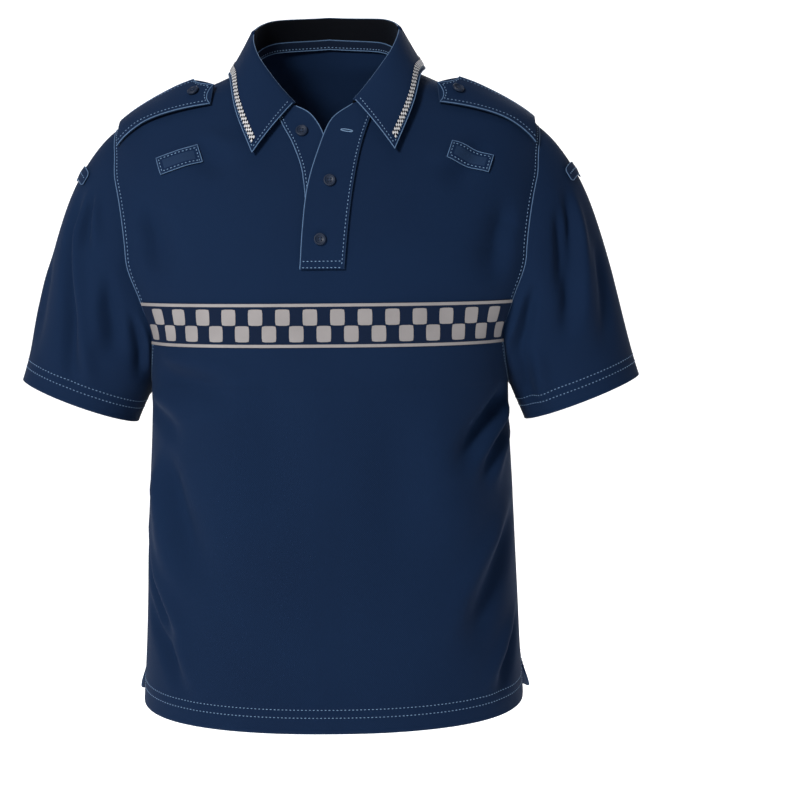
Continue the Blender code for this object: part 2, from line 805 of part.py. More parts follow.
def main():
    clear_scene()
    navy = material("navy_cloth", NAVY, 0.9)
    inner = material("neck_tape_cloth", DARK_NAVY, 0.9)
    silver = material("check_band", SILVER, 0.6)
    pale = material("check_tape", PALE, 0.7)
    button = material("button_plastic", DARK_NAVY, 0.4)
    make_front(navy)
    make_back(navy)
    make_sleeves(navy)
    make_collar(navy)
    make_collar_tape(pale)
    make_neck_tape(inner)
    make_plackets(navy)
    make_bands(silver)
    make_epaulettes(navy, button)
    make_loops(navy)
    make_sleeve_tabs(navy)
    make_placket_buttons(button)


main()
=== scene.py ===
import functools
import json
import math

import bmesh
import bpy
from mathutils import Matrix, Vector, noise

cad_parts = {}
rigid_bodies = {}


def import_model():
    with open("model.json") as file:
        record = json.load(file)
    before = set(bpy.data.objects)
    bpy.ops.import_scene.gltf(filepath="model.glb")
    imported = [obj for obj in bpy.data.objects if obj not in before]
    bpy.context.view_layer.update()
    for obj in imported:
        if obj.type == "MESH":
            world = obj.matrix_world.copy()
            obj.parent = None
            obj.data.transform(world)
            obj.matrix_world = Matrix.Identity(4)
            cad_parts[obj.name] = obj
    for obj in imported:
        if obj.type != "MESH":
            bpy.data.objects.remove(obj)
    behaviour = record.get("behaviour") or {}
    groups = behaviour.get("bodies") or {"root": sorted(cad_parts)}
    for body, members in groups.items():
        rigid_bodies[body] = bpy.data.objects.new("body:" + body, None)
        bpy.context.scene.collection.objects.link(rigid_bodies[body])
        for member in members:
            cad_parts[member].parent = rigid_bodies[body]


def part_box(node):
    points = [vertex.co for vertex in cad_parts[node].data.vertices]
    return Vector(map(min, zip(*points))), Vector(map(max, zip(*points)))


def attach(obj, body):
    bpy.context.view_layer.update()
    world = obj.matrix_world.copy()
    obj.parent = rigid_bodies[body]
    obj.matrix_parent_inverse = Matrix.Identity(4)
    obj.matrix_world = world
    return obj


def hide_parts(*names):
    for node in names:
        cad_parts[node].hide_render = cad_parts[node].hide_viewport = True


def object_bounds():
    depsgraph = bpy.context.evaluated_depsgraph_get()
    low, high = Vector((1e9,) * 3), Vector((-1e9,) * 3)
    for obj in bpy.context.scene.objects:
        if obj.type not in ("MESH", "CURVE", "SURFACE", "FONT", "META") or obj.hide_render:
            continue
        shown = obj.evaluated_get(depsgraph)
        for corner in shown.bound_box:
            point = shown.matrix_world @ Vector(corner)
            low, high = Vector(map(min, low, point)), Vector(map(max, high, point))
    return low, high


for thing in list(bpy.data.objects):
    bpy.data.objects.remove(thing, do_unlink=True)
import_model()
cadLow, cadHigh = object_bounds()
tiny = 1e-4
print("frame loaded")


# finishes: a Wire is one socket, and sums and products of wires add Math nodes

class Wire:
    def __init__(self, finish, socket):
        self.finish = finish
        self.socket = socket

    def maths(self, operation, *values):
        return self.finish.node("ShaderNodeMath", {"operation": operation}, dict(enumerate(values)))

    def __add__(self, other):
        return self.maths("ADD", self, other)

    def __radd__(self, other):
        return self.maths("ADD", other, self)

    def __sub__(self, other):
        return self.maths("SUBTRACT", self, other)

    def __rsub__(self, other):
        return self.maths("SUBTRACT", other, self)

    def __mul__(self, other):
        return self.maths("MULTIPLY", self, other)

    def __truediv__(self, other):
        return self.maths("DIVIDE", self, other)

    def sine(self):
        return self.maths("SINE", self)

    def size(self):
        return self.maths("ABSOLUTE", self)

    def near(self, place, width):  # 1 at a place, falling to 0 a width away
        away = (self - place).size() / width
        return self.maths("MAXIMUM", 1 - away, 0.0)


class Finish:
    def __init__(self, name):
        self.material = bpy.data.materials.new(name)
        self.material.use_nodes = True
        self.tree = self.material.node_tree
        self.shader = self.tree.nodes["Principled BSDF"]

    def put(self, socket, value):
        if isinstance(value, Wire):
            self.tree.links.new(value.socket, socket)
        else:
            socket.default_value = value

    def node(self, kind, settings, inputs, output=0):
        made = self.tree.nodes.new(kind)
        for key, value in settings.items():
            setattr(made, key, value)
        for key, value in inputs.items():
            self.put(made.inputs[key], value)
        return Wire(self, made.outputs[output])

    def mix(self, share, first, second):  # two colours
        return self.node("ShaderNodeMix", {"data_type": "RGBA"}, {0: share, 6: first, 7: second}, 2)

    def cloudy(self, scale, detail=3.0):  # slow noise on the object's own coordinates
        place = self.node("ShaderNodeTexCoord", {}, {}, "Object")
        return self.node("ShaderNodeTexNoise", {}, {"Vector": place, "Scale": scale, "Detail": detail})

    def flat(self):  # metres across and along the cut piece, and from its edge
        lay = self.node("ShaderNodeAttribute", {"attribute_name": "flat"}, {}, "Vector")
        return [self.node("ShaderNodeSeparateXYZ", {}, {0: lay}, axis) for axis in range(3)]

    def bump(self, height, strength, distance):
        return self.node(
            "ShaderNodeBump", {}, {"Strength": strength, "Distance": distance, "Height": height}
        )

    def finish(self, **values):
        for key, value in values.items():
            self.put(self.shader.inputs[key.replace("_", " ")], value)
        return self.material


def shade(red, green, blue):
    return (red, green, blue, 1.0)


knit = {
    "loop": 0.0017,  # one knitted cell
    "deep": shade(0.0022, 0.0105, 0.0355),
    "lit": shade(0.0046, 0.0168, 0.0505),
    "worn": shade(0.0170, 0.0370, 0.0800),
    "groove": 0.00198,  # half width of the dip along a row of stitches
    "grooveDepth": 2.4,
    "edgeWear": 0.0016,
    "wornShare": 0.7,
    "fuzzShare": 0.25,
    "fuzzScale": 900.0,
    "cloudScale": 7.0,
}


def knitCloth(name, deep, lit, worn, loop, rows=()):
    cloth = Finish(name)
    across, along, fromEdge = cloth.flat()
    turn = 2 * math.pi / loop
    cells = (across * turn).sine() * (along * turn).sine()
    fuzz = cloth.cloudy(knit["fuzzScale"], 2.0)
    clouds = cloth.cloudy(knit["cloudScale"])
    colour = cloth.mix(clouds, deep, lit)
    colour = cloth.mix(fuzz * knit["fuzzShare"], colour, lit)
    colour = cloth.mix(fromEdge.near(0.0, knit["edgeWear"]) * knit["wornShare"], colour, worn)
    height = cells * 0.5 + fuzz * 0.8
    for row in rows:  # the cloth draws in along each row of stitches
        height = height - fromEdge.near(row, knit["groove"]) * knit["grooveDepth"]
    return cloth.finish(
        Base_Color=colour,
        Roughness=0.80 + clouds * 0.12,
        Specular_IOR_Level=0.10,
        Sheen_Weight=0.04,
        Sheen_Roughness=0.45,
        Sheen_Tint=shade(0.25, 0.40, 0.75),
        Normal=cloth.bump(height, 0.35, 0.0004),
    )


def threadFinish(name, dark, bright, roughness):
    thread = Finish(name)
    tone = thread.cloudy(160.0)
    ply = thread.cloudy(2200.0, 1.0)
    return thread.finish(
        Base_Color=thread.mix(tone, dark, bright),
        Roughness=roughness + ply * 0.15,
        Specular_IOR_Level=0.35,
        Normal=thread.bump(ply, 0.4, 0.0002),
    )


def silverFinish(name, dark, bright):
    silver = Finish(name)
    across, along, _ = silver.flat()
    grain = silver.cloudy(1400.0, 2.0)
    rubbed = silver.cloudy(35.0)
    turn = 2 * math.pi / 0.0012
    mesh = (across * turn).sine() * (along * turn).sine()
    colour = silver.mix(rubbed, dark, bright)
    return silver.finish(
        Base_Color=colour,
        Roughness=0.42 + grain * 0.2,
        Metallic=0.15,
        Normal=silver.bump(grain + mesh * 0.6, 0.3, 0.0002),
    )


def buttonFinish(name):
    plastic = Finish(name)
    swirl = plastic.cloudy(240.0)
    scuffs = plastic.cloudy(1500.0, 2.0)
    return plastic.finish(
        Base_Color=plastic.mix(swirl, shade(0.002, 0.008, 0.024), shade(0.004, 0.014, 0.040)),
        Roughness=0.48 + scuffs * 0.16,
        Specular_IOR_Level=0.3,
        Coat_Weight=0.05,
        Coat_Roughness=0.25,
        Normal=plastic.bump(scuffs, 0.12, 0.0002),
    )


hemRows = (0.0175, 0.0260)
navyKnit = knitCloth("navyKnit", knit["deep"], knit["lit"], knit["worn"], knit["loop"], hemRows)
navyTrim = knitCloth("navyTrim", knit["deep"], shade(0.0050, 0.0178, 0.0530), knit["worn"], 0.0011)
# painted highlight: a lighter knit for the swelled middle of each chest loop, where the light would fall on
# it
loopPaintedHighlight = knitCloth("loopPaintedHighlight", shade(0.0090, 0.0230, 0.0590), shade(0.0130, 0.0310, 0.0740),
                       knit["worn"], 0.0011)
bandGround = knitCloth("bandGround", shade(0.0028, 0.0080, 0.0250), shade(0.0048, 0.0125, 0.0360),
                       knit["worn"], 0.0014)
# painted shade: a near-black knit on the collar stand, standing for the shade inside the neck
collarPaintedShade = knitCloth("collarPaintedShade", shade(0.0005, 0.0010, 0.0024), shade(0.0010, 0.0018, 0.0040),
                         shade(0.0020, 0.0040, 0.0090), 0.0011)
tapeCloth = knitCloth("tapeCloth", shade(0.0026, 0.0070, 0.0200), shade(0.0045, 0.0115, 0.0300),
                      knit["worn"], 0.0009)
edgeThread = threadFinish("edgeThread", shade(0.060, 0.120, 0.230), shade(0.095, 0.175, 0.310), 0.60)
stitchThread = threadFinish("stitchThread", shade(0.105, 0.190, 0.330), shade(0.160, 0.265, 0.420), 0.55)
navyThread = threadFinish("navyThread", shade(0.010, 0.022, 0.055), shade(0.018, 0.038, 0.085), 0.60)
silver = silverFinish("reflectiveSilver", shade(0.225, 0.212, 0.216), shade(0.300, 0.283, 0.288))
checkWhite = silverFinish("checkWhite", shade(0.520, 0.520, 0.540), shade(0.640, 0.640, 0.660))
checkBlack = knitCloth("checkBlack", shade(0.0020, 0.0030, 0.0060), shade(0.0050, 0.0070, 0.0120),
                       shade(0.0060, 0.0080, 0.0140), 0.0009)
buttonPlastic = buttonFinish("buttonPlastic")
print("finishes made")


# the shirt's form

shirt = {
    "wall": 0.0014,
    "shoulderPoint": -0.061,
    "underarm": -0.340,
    "reachFront": 0.078,
    "reachBack": 0.080,
    "armholeCornerUpper": 1.63,
    "armholeCornerLower": 2.2,
    "hemCentre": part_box("front")[0].z,
    "hemSide": -0.6920,
    "ventTop": -0.650,
    "ventFlare": 0.009,
    "ventFlareSpan": 0.05,
    "ventGap": 0.0022,
    "ventGapSpan": 0.03,
    "seamHalfGap": 0.00004,
    "sideDepth": 0.13,  # from the middle out to the side, where gaps turn into angles
    "hemSpread": 0.16,
    "hemDipPower": 0.8,
    "hemSettlePower": 2.2,
    "neckHalfWidth": 0.0835,
    "neckPoint": 0.0100,
    "shoulderShare": 0.55,  # of a panel's top edge
    "ridgeNudge": 0.0004,
    "frontCorner": 0.040,
    "backCorner": 0.028,
    "hemTurnUp": 0.0275,
    "hemLayer": 0.0009,
    "placketTuck": 0.008,
}
armholeMiddle = (shirt["shoulderPoint"] + shirt["underarm"]) / 2
armholeHalf = (shirt["shoulderPoint"] - shirt["underarm"]) / 2

# height, half width, front, back, corner
bodySections = (
    (0.0400, 0.0795, 0.0480, 0.0710, 2.00),
    (0.0100, 0.0835, 0.0500, 0.0770, 2.00),
    (-0.0100, 0.1180, 0.0560, 0.0840, 2.00),
    (-0.0275, 0.1660, 0.0620, 0.0900, 2.03),
    (-0.0610, 0.2320, 0.0805, 0.1005, 2.10),
    (-0.0850, 0.2430, 0.0935, 0.1060, 2.25),
    (-0.1200, 0.2500, 0.1100, 0.1120, 2.40),
    (-0.2000, 0.2430, 0.1310, 0.1195, 2.55),
    (-0.2500, 0.2190, 0.1355, 0.1215, 2.60),
    (-0.2900, 0.2010, 0.1370, 0.1225, 2.60),
    (-0.3400, 0.1980, 0.1375, 0.1230, 2.55),
    (-0.5000, 0.2045, 0.1380, 0.1245, 2.50),
    (-0.6200, 0.2095, 0.1395, 0.1265, 2.50),
    (-0.7200, 0.2160, 0.1430, 0.1300, 2.45),
)

# turn, seam height, stand
neckSections = (
    (0.0, 0.0350, 0.0300),
    (45.0, 0.0300, 0.0310),
    (90.0, 0.0100, 0.0330),
    (125.0, -0.0140, 0.0230),
    (158.0, -0.0400, 0.0050),
)

# turn, x, y, z
leafEdgeTable = (
    (0.0, 0.0000, 0.0880, 0.0230),
    (45.0, 0.0790, 0.0640, 0.0160),
    (90.0, 0.1085, 0.0000, 0.0010),
    (108.0, 0.1038, -0.0354, -0.0072),
    (125.0, 0.0966, -0.0674, -0.0368),
    (158.0, 0.0757, -0.1010, -0.0885),
)

# left x, left z, right x, right z
underPlacket = (
    (-0.0580, -0.0275, -0.0335, -0.0395),
    (-0.0450, -0.0590, -0.0165, -0.0480),
    (-0.0320, -0.0830, -0.0015, -0.0690),
    (-0.0215, -0.1150, 0.0070, -0.1010),
    (-0.0185, -0.1500, 0.0110, -0.1450),
    (-0.0200, -0.2060, 0.0130, -0.2060),
)
overPlacket = (
    (0.0300, -0.0400, 0.0600, -0.0260),
    (0.0085, -0.0560, 0.0500, -0.0520),
    (-0.0060, -0.0900, 0.0395, -0.0850),
    (-0.0176, -0.1336, 0.0310, -0.1300),
    (-0.0215, -0.1700, 0.0262, -0.1690),
    (-0.0243, -0.2130, 0.0222, -0.2130),
)


def slopeAt(table, row, column):
    if row in (0, len(table) - 1):
        first, last = (0, 1) if row == 0 else (row - 1, row)
        return (table[last][column] - table[first][column]) / (table[last][0] - table[first][0])
    before = (table[row][column] - table[row - 1][column]) / (table[row][0] - table[row - 1][0])
    after = (table[row + 1][column] - table[row][column]) / (table[row + 1][0] - table[row][0])
    if before * after <= 0:
        return 0.0
    return 2 * before * after / (before + after)


@functools.lru_cache(maxsize=200000)
def readTable(table, key):  # every column after the first, on a smooth curve through the rows
    falling = table[0][0] > table[-1][0]
    row = 0
    while row < len(table) - 2 and (key < table[row + 1][0]) == falling:
        row += 1
    span = table[row + 1][0] - table[row][0]
    part = (key - table[row][0]) / span
    values = []
    for column in range(1, len(table[0])):
        start, end = table[row][column], table[row + 1][column]
        leave = slopeAt(table, row, column) * span
        arrive = slopeAt(table, row + 1, column) * span
        bend = 3 * (end - start) - 2 * leave - arrive
        twist = 2 * (start - end) + leave + arrive
        values.append(start + part * (leave + part * (bend + part * twist)))
    return tuple(values)


def ease(share):
    share = min(1.0, max(0.0, share))
    return share * share * (3 - 2 * share)


def bodyPoint(angle, height):  # the angle runs from the middle of the front towards +X
    halfWidth, front, back, corner = readTable(bodySections, height)
    across, ahead = math.sin(angle), math.cos(angle)
    reach = (abs(across) ** corner + abs(ahead) ** corner) ** (-1 / corner)
    if ahead < 0:
        halfWidth += shirt["ventFlare"] * ease((shirt["ventTop"] - height) / shirt["ventFlareSpan"])
    depth = front if ahead > 0 else back
    return Vector((halfWidth * reach * across, -depth * reach * ahead, height))


def spotOn(surface, first, second):  # a point of a surface, and the way out from it
    along = surface(first + tiny, second) - surface(first - tiny, second)
    up = surface(first, second + tiny) - surface(first, second - tiny)
    return surface(first, second), along.cross(up).normalized()


def frontAngle(x, height):
    halfWidth, _, _, corner = readTable(bodySections, height)
    across = min(abs(x) / halfWidth, 1.0)
    return math.copysign(math.atan2(across, (1 - across**corner) ** (1 / corner)), x)


def backAngle(x, height):
    return math.pi - frontAngle(x, height)


def armhole(swing, out=0.0):  # 90 degrees is the shoulder point, 0 the front, -90 the underarm
    height = armholeMiddle + (armholeHalf + out) * math.sin(swing)
    corner = shirt["armholeCornerUpper"] if math.sin(swing) > 0 else shirt["armholeCornerLower"]
    fullness = (1 - min(abs(math.sin(swing)), 1.0) ** corner) ** (1 / corner)
    _, front, back, bodyCorner = readTable(bodySections, height)
    if math.cos(swing) >= 0:
        ahead = fullness * (shirt["reachFront"] + out) / front
    else:
        ahead = -fullness * (shirt["reachBack"] + out) / back
    return math.atan2((1 - abs(ahead) ** bodyCorner) ** (1 / bodyCorner), ahead), height


def armholeSwing(height):
    return math.asin(min(1.0, max(-1.0, (height - armholeMiddle) / armholeHalf)))


def neckline(turn):  # 0 degrees is the back of the neck, positive turns pass the +X side
    height, stand = readTable(neckSections, abs(turn))
    angle = frontAngle(shirt["neckHalfWidth"] * math.sin(math.radians(turn)), height)
    if abs(turn) < 90.0:
        angle = math.copysign(math.pi, turn) - angle if turn else math.pi
    return angle, height, stand


# folds: soft troughs with a ridge beside them

# places as (x, z) on the body, half width, depth, side of the ridge
frontFolds = (
    (((-0.176, -0.400), (-0.170, -0.448), (-0.152, -0.507), (-0.122, -0.572)), 0.020, 0.0060, -1),
    (((-0.206, -0.500), (-0.194, -0.560), (-0.176, -0.610), (-0.163, -0.668)), 0.011, 0.0042, 1),
    (((-0.206, -0.560), (-0.192, -0.604), (-0.172, -0.640), (-0.150, -0.690)), 0.009, 0.0034, 1),
    (((-0.190, -0.318), (-0.160, -0.330), (-0.118, -0.340), (-0.085, -0.352)), 0.015, 0.0034, 1),
    (((-0.200, -0.360), (-0.176, -0.376), (-0.150, -0.400)), 0.012, 0.0030, 1),
    (((0.200, -0.335), (0.184, -0.366), (0.158, -0.398), (0.132, -0.440)), 0.013, 0.0060, 1),
    (((0.203, -0.372), (0.180, -0.410), (0.160, -0.452)), 0.010, 0.0040, 1),
    (((0.204, -0.470), (0.190, -0.520), (0.166, -0.580), (0.150, -0.640)), 0.016, 0.0042, -1),
    (((0.207, -0.590), (0.196, -0.640), (0.180, -0.690)), 0.010, 0.0036, -1),
    (((-0.196, -0.130), (-0.180, -0.190), (-0.166, -0.236)), 0.022, 0.0050, -1),
    (((0.204, -0.130), (0.188, -0.190), (0.172, -0.238)), 0.022, 0.0045, 1),
    (((-0.150, -0.074), (-0.120, -0.098), (-0.092, -0.118)), 0.016, 0.0024, 1),
    (((0.176, -0.078), (0.150, -0.108), (0.122, -0.126)), 0.014, 0.0022, -1),
    (((-0.060, -0.300), (-0.052, -0.420), (-0.030, -0.540)), 0.040, 0.0022, -1),
    (((0.080, -0.330), (0.074, -0.460), (0.096, -0.600)), 0.038, 0.0024, 1),
)
backFolds = (
    (((-0.190, -0.160), (-0.176, -0.200), (-0.168, -0.236)), 0.016, 0.0042, -1),
    (((0.190, -0.150), (0.178, -0.196), (0.166, -0.240)), 0.016, 0.0045, 1),
    (((-0.200, -0.330), (-0.178, -0.362), (-0.150, -0.396)), 0.013, 0.0044, -1),
    (((0.200, -0.326), (0.176, -0.366), (0.146, -0.402)), 0.012, 0.0048, 1),
    (((-0.206, -0.540), (-0.194, -0.600), (-0.182, -0.668)), 0.012, 0.0050, -1),
    (((-0.196, -0.500), (-0.168, -0.570), (-0.150, -0.640)), 0.015, 0.0034, -1),
    (((0.207, -0.520), (0.192, -0.590), (0.176, -0.672)), 0.013, 0.0052, 1),
    (((0.190, -0.470), (0.166, -0.540), (0.142, -0.600)), 0.015, 0.0034, 1),
    (((0.110, -0.060), (0.070, -0.090), (0.000, -0.104), (-0.066, -0.092), (-0.108, -0.062)),
     0.026, 0.0026, 1),
    (((-0.040, -0.320), (-0.048, -0.440), (-0.030, -0.560)), 0.042, 0.0026, 1),
    (((0.070, -0.350), (0.060, -0.470), (0.080, -0.600)), 0.040, 0.0024, -1),
)

# places as (swing in degrees, share of the way to the hem)
rightSleeveFolds = (
    (((52, 0.16), (34, 0.30), (14, 0.48), (-8, 0.62)), 0.0100, 0.0058, 1),
    (((36, 0.14), (22, 0.28), (6, 0.42)), 0.0075, 0.0040, 1),
    (((60, 0.42), (48, 0.62), (30, 0.86)), 0.0110, 0.0026, -1),
    (((-4, 0.10), (-22, 0.24), (-48, 0.36)), 0.0090, 0.0048, -1),
    (((-26, 0.30), (-44, 0.52), (-62, 0.74)), 0.0110, 0.0042, 1),
    (((128, 0.14), (146, 0.32), (166, 0.52)), 0.0100, 0.0050, -1),
    (((150, 0.10), (176, 0.26), (204, 0.40)), 0.0090, 0.0044, -1),
    (((120, 0.50), (136, 0.70), (150, 0.90)), 0.0120, 0.0026, 1),
    (((205, 0.34), (222, 0.56), (236, 0.78)), 0.0110, 0.0040, 1),
)
leftSleeveFolds = (
    (((58, 0.18), (50, 0.36), (24, 0.58), (10, 0.80), (2, 0.93)), 0.0100, 0.0064, -1),
    (((46, 0.14), (36, 0.24), (26, 0.34)), 0.0075, 0.0046, -1),
    (((8, 0.16), (-12, 0.34), (-24, 0.54)), 0.0110, 0.0038, 1),
    (((-16, 0.10), (-36, 0.24), (-56, 0.36)), 0.0085, 0.0046, -1),
    (((74, 0.48), (66, 0.68), (56, 0.90)), 0.0120, 0.0022, 1),
    (((124, 0.16), (140, 0.34), (158, 0.60)), 0.0105, 0.0052, 1),
    (((152, 0.12), (180, 0.28), (208, 0.42)), 0.0090, 0.0042, -1),
    (((206, 0.40), (226, 0.60), (238, 0.82)), 0.0110, 0.0040, 1),
)


fold = {
    "boxReach": 3.6,  # how many half widths away a fold still moves the cloth
    "fadeIn": 0.35,
    "fadeOut": 0.45,
    "narrow": 0.7,  # half width at the first end, and how much wider it gets
    "widen": 0.5,
    "ridge": 0.62,
    "ridgePlace": 1.6,
    "frontDepth": 2.3,
    "backDepth": 1.9,
    "sleeveDepth": 1.9,
}
ripple = {"scale": 11.0, "sleeveScale": 13.0, "height": 0.0009, "top": -0.05, "span": 0.1,
          "foldsCalmAbove": -0.42, "calmAbove": -0.40, "seamClear": 0.012, "seamSpan": 0.030}


def placedFolds(table, place, deepen):  # each fold's points on the surface, with a box round them
    placed = []
    for places, width, depth, side in table:
        points = []
        for first, second in zip(places, places[1:]):
            for step in range(4):
                share = step / 4
                points.append(place(first[0] + (second[0] - first[0]) * share,
                                    first[1] + (second[1] - first[1]) * share))
        points.append(place(*places[-1]))
        reach = width * fold["boxReach"]
        low = [min(spot[0][axis] for spot in points) - reach for axis in range(3)]
        high = [max(spot[0][axis] for spot in points) + reach for axis in range(3)]
        placed.append((points, width, depth * deepen, side, low, high))
    return placed


def foldLift(point, folds):  # how far the folds move a point out or in
    lift = 0.0
    for points, width, depth, side, low, high in folds:
        if not all(low[axis] < point[axis] < high[axis] for axis in range(3)):
            continue
        best = (1e9, 0.0, 0.0)
        for index in range(len(points) - 1):
            start, normal = points[index]
            stretch = points[index + 1][0] - start
            share = min(1.0, max(0.0, (point - start).dot(stretch) / stretch.length_squared))
            away = point - start - stretch * share
            if away.length < best[0]:
                sign = 1.0 if normal.cross(stretch).dot(away) > 0 else -1.0
                best = (away.length, sign, (index + share) / (len(points) - 1))
        distance, sign, along = best
        fade = ease(along / fold["fadeIn"]) * ease((1 - along) / fold["fadeOut"])
        offset = distance * sign / (width * (fold["narrow"] + fold["widen"] * along))
        trough = -math.exp(-offset * offset)
        ridge = fold["ridge"] * math.exp(-((offset - side * fold["ridgePlace"]) ** 2))
        lift += depth * fade * (trough + ridge)
    return lift


bodyFolds = placedFolds(frontFolds, lambda x, z: spotOn(bodyPoint, frontAngle(x, z), z), fold["frontDepth"])
bodyFolds += placedFolds(backFolds, lambda x, z: spotOn(bodyPoint, backAngle(x, z), z), fold["backDepth"])
armholeRing = [bodyPoint(*armhole(math.radians(-90 + 12 * step))) for step in range(30)]


def clearOfArmhole(point):  # 0 at the armhole seam, where the cloth is held, and 1 a little away
    mirrored = Vector((abs(point.x), point.y, point.z))
    away = min((mirrored - ring).length for ring in armholeRing)
    return ease((away - ripple["seamClear"]) / ripple["seamSpan"])


def onBody(angle, height, lift=0.0):
    point, normal = spotOn(bodyPoint, angle, height)
    folds = foldLift(point, bodyFolds)
    if folds and height > ripple["foldsCalmAbove"]:
        folds *= clearOfArmhole(point)
    swell = noise.noise(point * ripple["scale"]) * ripple["height"]
    swell *= ease((ripple["top"] - height) / ripple["span"])
    if height > ripple["calmAbove"]:
        swell *= clearOfArmhole(point)
    return point + normal * (lift + folds + swell), normal


def onFront(x, height, lift=0.0):
    return onBody(frontAngle(x, height), height, lift)


def onTop(x, y, lift=0.0):  # the shoulder above a place in plan
    low, high = -0.20, 0.039
    for _ in range(22):
        height = (low + high) / 2
        halfWidth, front, back, corner = readTable(bodySections, height)
        depth = front if y < 0 else back
        inside = (abs(x) / halfWidth) ** corner + (abs(y) / depth) ** corner < 1
        low, high = (height, high) if inside else (low, height)
    halfWidth, front, back, _ = readTable(bodySections, low)
    depth = front if y < 0 else back
    return onBody(math.atan2(x / halfWidth, -y / depth), low, lift)


# cloth, cords and stitches

def addObject(name, mesh, finishes, rides=True):
    data = bpy.data.meshes.new(name)
    mesh.to_mesh(data)
    mesh.free()
    for finish in finishes:
        data.materials.append(finish)
    data.set_sharp_from_angle(angle=math.radians(55))
    piece = bpy.data.objects.new(name, data)
    bpy.context.scene.collection.objects.link(piece)
    if rides:
        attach(piece, "root")
    return piece


# place(u, v) gives the outer point, the way to the inner face, and the distance from the edge
def clothWall(name, columns, rows, flat, place, finishes, cut=None, closed=False, mirrored=False, paint=None):
    mesh = bmesh.new()
    bmesh.ops.create_grid(mesh, x_segments=columns, y_segments=rows, size=0.5)
    spot = mesh.verts.layers.float_vector.new("flat")
    shift = mesh.verts.layers.float_vector.new("shift")
    for vertex in mesh.verts:
        vertex[shift] = (round((vertex.co.x + 0.5) * columns), round((vertex.co.y + 0.5) * rows), 0)
    if cut:
        cutAway = [vertex for vertex in mesh.verts if cut(*vertex[shift].xy)]
        bmesh.ops.delete(mesh, geom=cutAway, context="VERTS")
    if paint:
        for face in mesh.faces:
            middle = sum((vertex[shift] for vertex in face.verts), Vector()) / 4
            face.material_index = paint(middle.x, middle.y)
    for vertex in mesh.verts:
        u, v = vertex[shift].x / columns, vertex[shift].y / rows
        point, inwards, fromEdge = place(u, v)
        vertex.co = point
        vertex[spot] = (u * flat[0], v * flat[1], fromEdge)
        vertex[shift] = inwards
    if closed:
        bmesh.ops.remove_doubles(mesh, verts=mesh.verts, dist=1e-6)
    inner = bmesh.ops.extrude_face_region(mesh, geom=mesh.faces[:], use_keep_orig=True)["geom"]
    for item in inner:
        if isinstance(item, bmesh.types.BMVert):
            item.co += item[shift]
    if mirrored:
        bmesh.ops.scale(mesh, verts=mesh.verts, vec=(-1, 1, 1))
    bmesh.ops.recalc_face_normals(mesh, faces=mesh.faces)
    mesh.verts.layers.float_vector.remove(shift)
    return addObject(name, mesh, finishes)


def softenEdges(piece, width, segments=2):
    bevel = piece.modifiers.new("softEdges", "BEVEL")
    bevel.width = width
    bevel.segments = segments
    bevel.limit_method = "ANGLE"
    bevel.angle_limit = math.radians(50)
    return piece


def line(place, start, end, steps):  # places along a line on a surface
    return [place(start + (end - start) * step / steps) for step in range(steps + 1)]


def mirrorLine(spots):
    flip = Vector((-1, 1, 1))
    return [(point * flip, normal * flip) for point, normal in spots]


thread = {"pitch": 0.0042, "dash": 0.0025, "width": 0.00058, "height": 0.00040, "lift": 0.0001,
          "cord": 0.00052}


def sewAlong(mesh, spots):  # a dash of thread every pitch
    due = thread["pitch"] / 2
    for (start, normal), (end, _) in zip(spots, spots[1:]):
        stretch = end - start
        length = stretch.length
        if length < 1e-7:
            continue
        forward = stretch / length
        side = normal.cross(forward).normalized()
        out = forward.cross(side)
        while due < length:
            centre = start + forward * due + out * thread["lift"]
            frameOf = Matrix((forward * thread["dash"] / 2, side * thread["width"], out * thread["height"]))
            place = Matrix.Translation(centre) @ frameOf.transposed().to_4x4()
            bmesh.ops.create_icosphere(mesh, subdivisions=1, radius=1.0, matrix=place)
            due += thread["pitch"]
        due -= length


def sewPiece(name, lines):
    mesh = bmesh.new()
    for spots in lines:
        sewAlong(mesh, spots)
    return addObject(name, mesh, [stitchThread])


def cordPiece(name, lines, finish=None, radius=None):  # thin round cords along seams and edges
    curve = bpy.data.curves.new(name, "CURVE")
    curve.dimensions = "3D"
    curve.bevel_depth = radius or thread["cord"]
    curve.bevel_resolution = 1
    curve.use_fill_caps = True
    for spots in lines:
        spline = curve.splines.new("POLY")
        spline.points.add(len(spots) - 1)
        for point, spot in zip(spline.points, spots):
            point.co = (*spot[0], 1.0)
    rope = bpy.data.objects.new(name, curve)
    data = bpy.data.meshes.new_from_object(rope)
    bpy.data.objects.remove(rope)
    mesh = bmesh.new()
    mesh.from_mesh(data)
    bpy.data.meshes.remove(data)
    return addObject(name, mesh, [finish or edgeThread])


def declareCloth(piece, node, flat, area=None, rests=()):
    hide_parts(node)


print("form ready")


# front and back

panels = {
    "columns": 144,
    "rows": 220,
    "lowerRows": 0.6,  # share of the rows below the foot of the placket cut
    "bodyRows": 7 / 12,  # share of those below the underarm
    "cutFrom": 64 / 144,
    "cutTo": 80 / 144,
    "neckTurn": 142.0,
    "frontFlat": (0.62, 0.72),
    "frontArea": 0.36,
    "backFlat": (0.60, 0.75),
    "backArea": 0.37,
}
placketCut = armholeMiddle


def hemHeight(angle, cornerSize):  # it dips in the middle, and turns up in a corner at each vent
    hemSide = shirt["hemSide"]
    dip = hemSide + (shirt["hemCentre"] - hemSide) * abs(math.cos(angle)) ** shirt["hemDipPower"]
    toSide = abs(abs(math.remainder(angle, 2 * math.pi)) - math.pi / 2) * shirt["hemSpread"]
    inside = max(0.0, cornerSize - toSide)
    return dip + cornerSize - math.sqrt(cornerSize**2 - inside**2)


def sideAngle(height):
    gap = shirt["seamHalfGap"]
    if height < shirt["ventTop"]:
        gap += shirt["ventGap"] * min(1.0, (shirt["ventTop"] - height) / shirt["ventGapSpan"])
    return math.pi / 2 - gap / shirt["sideDepth"]


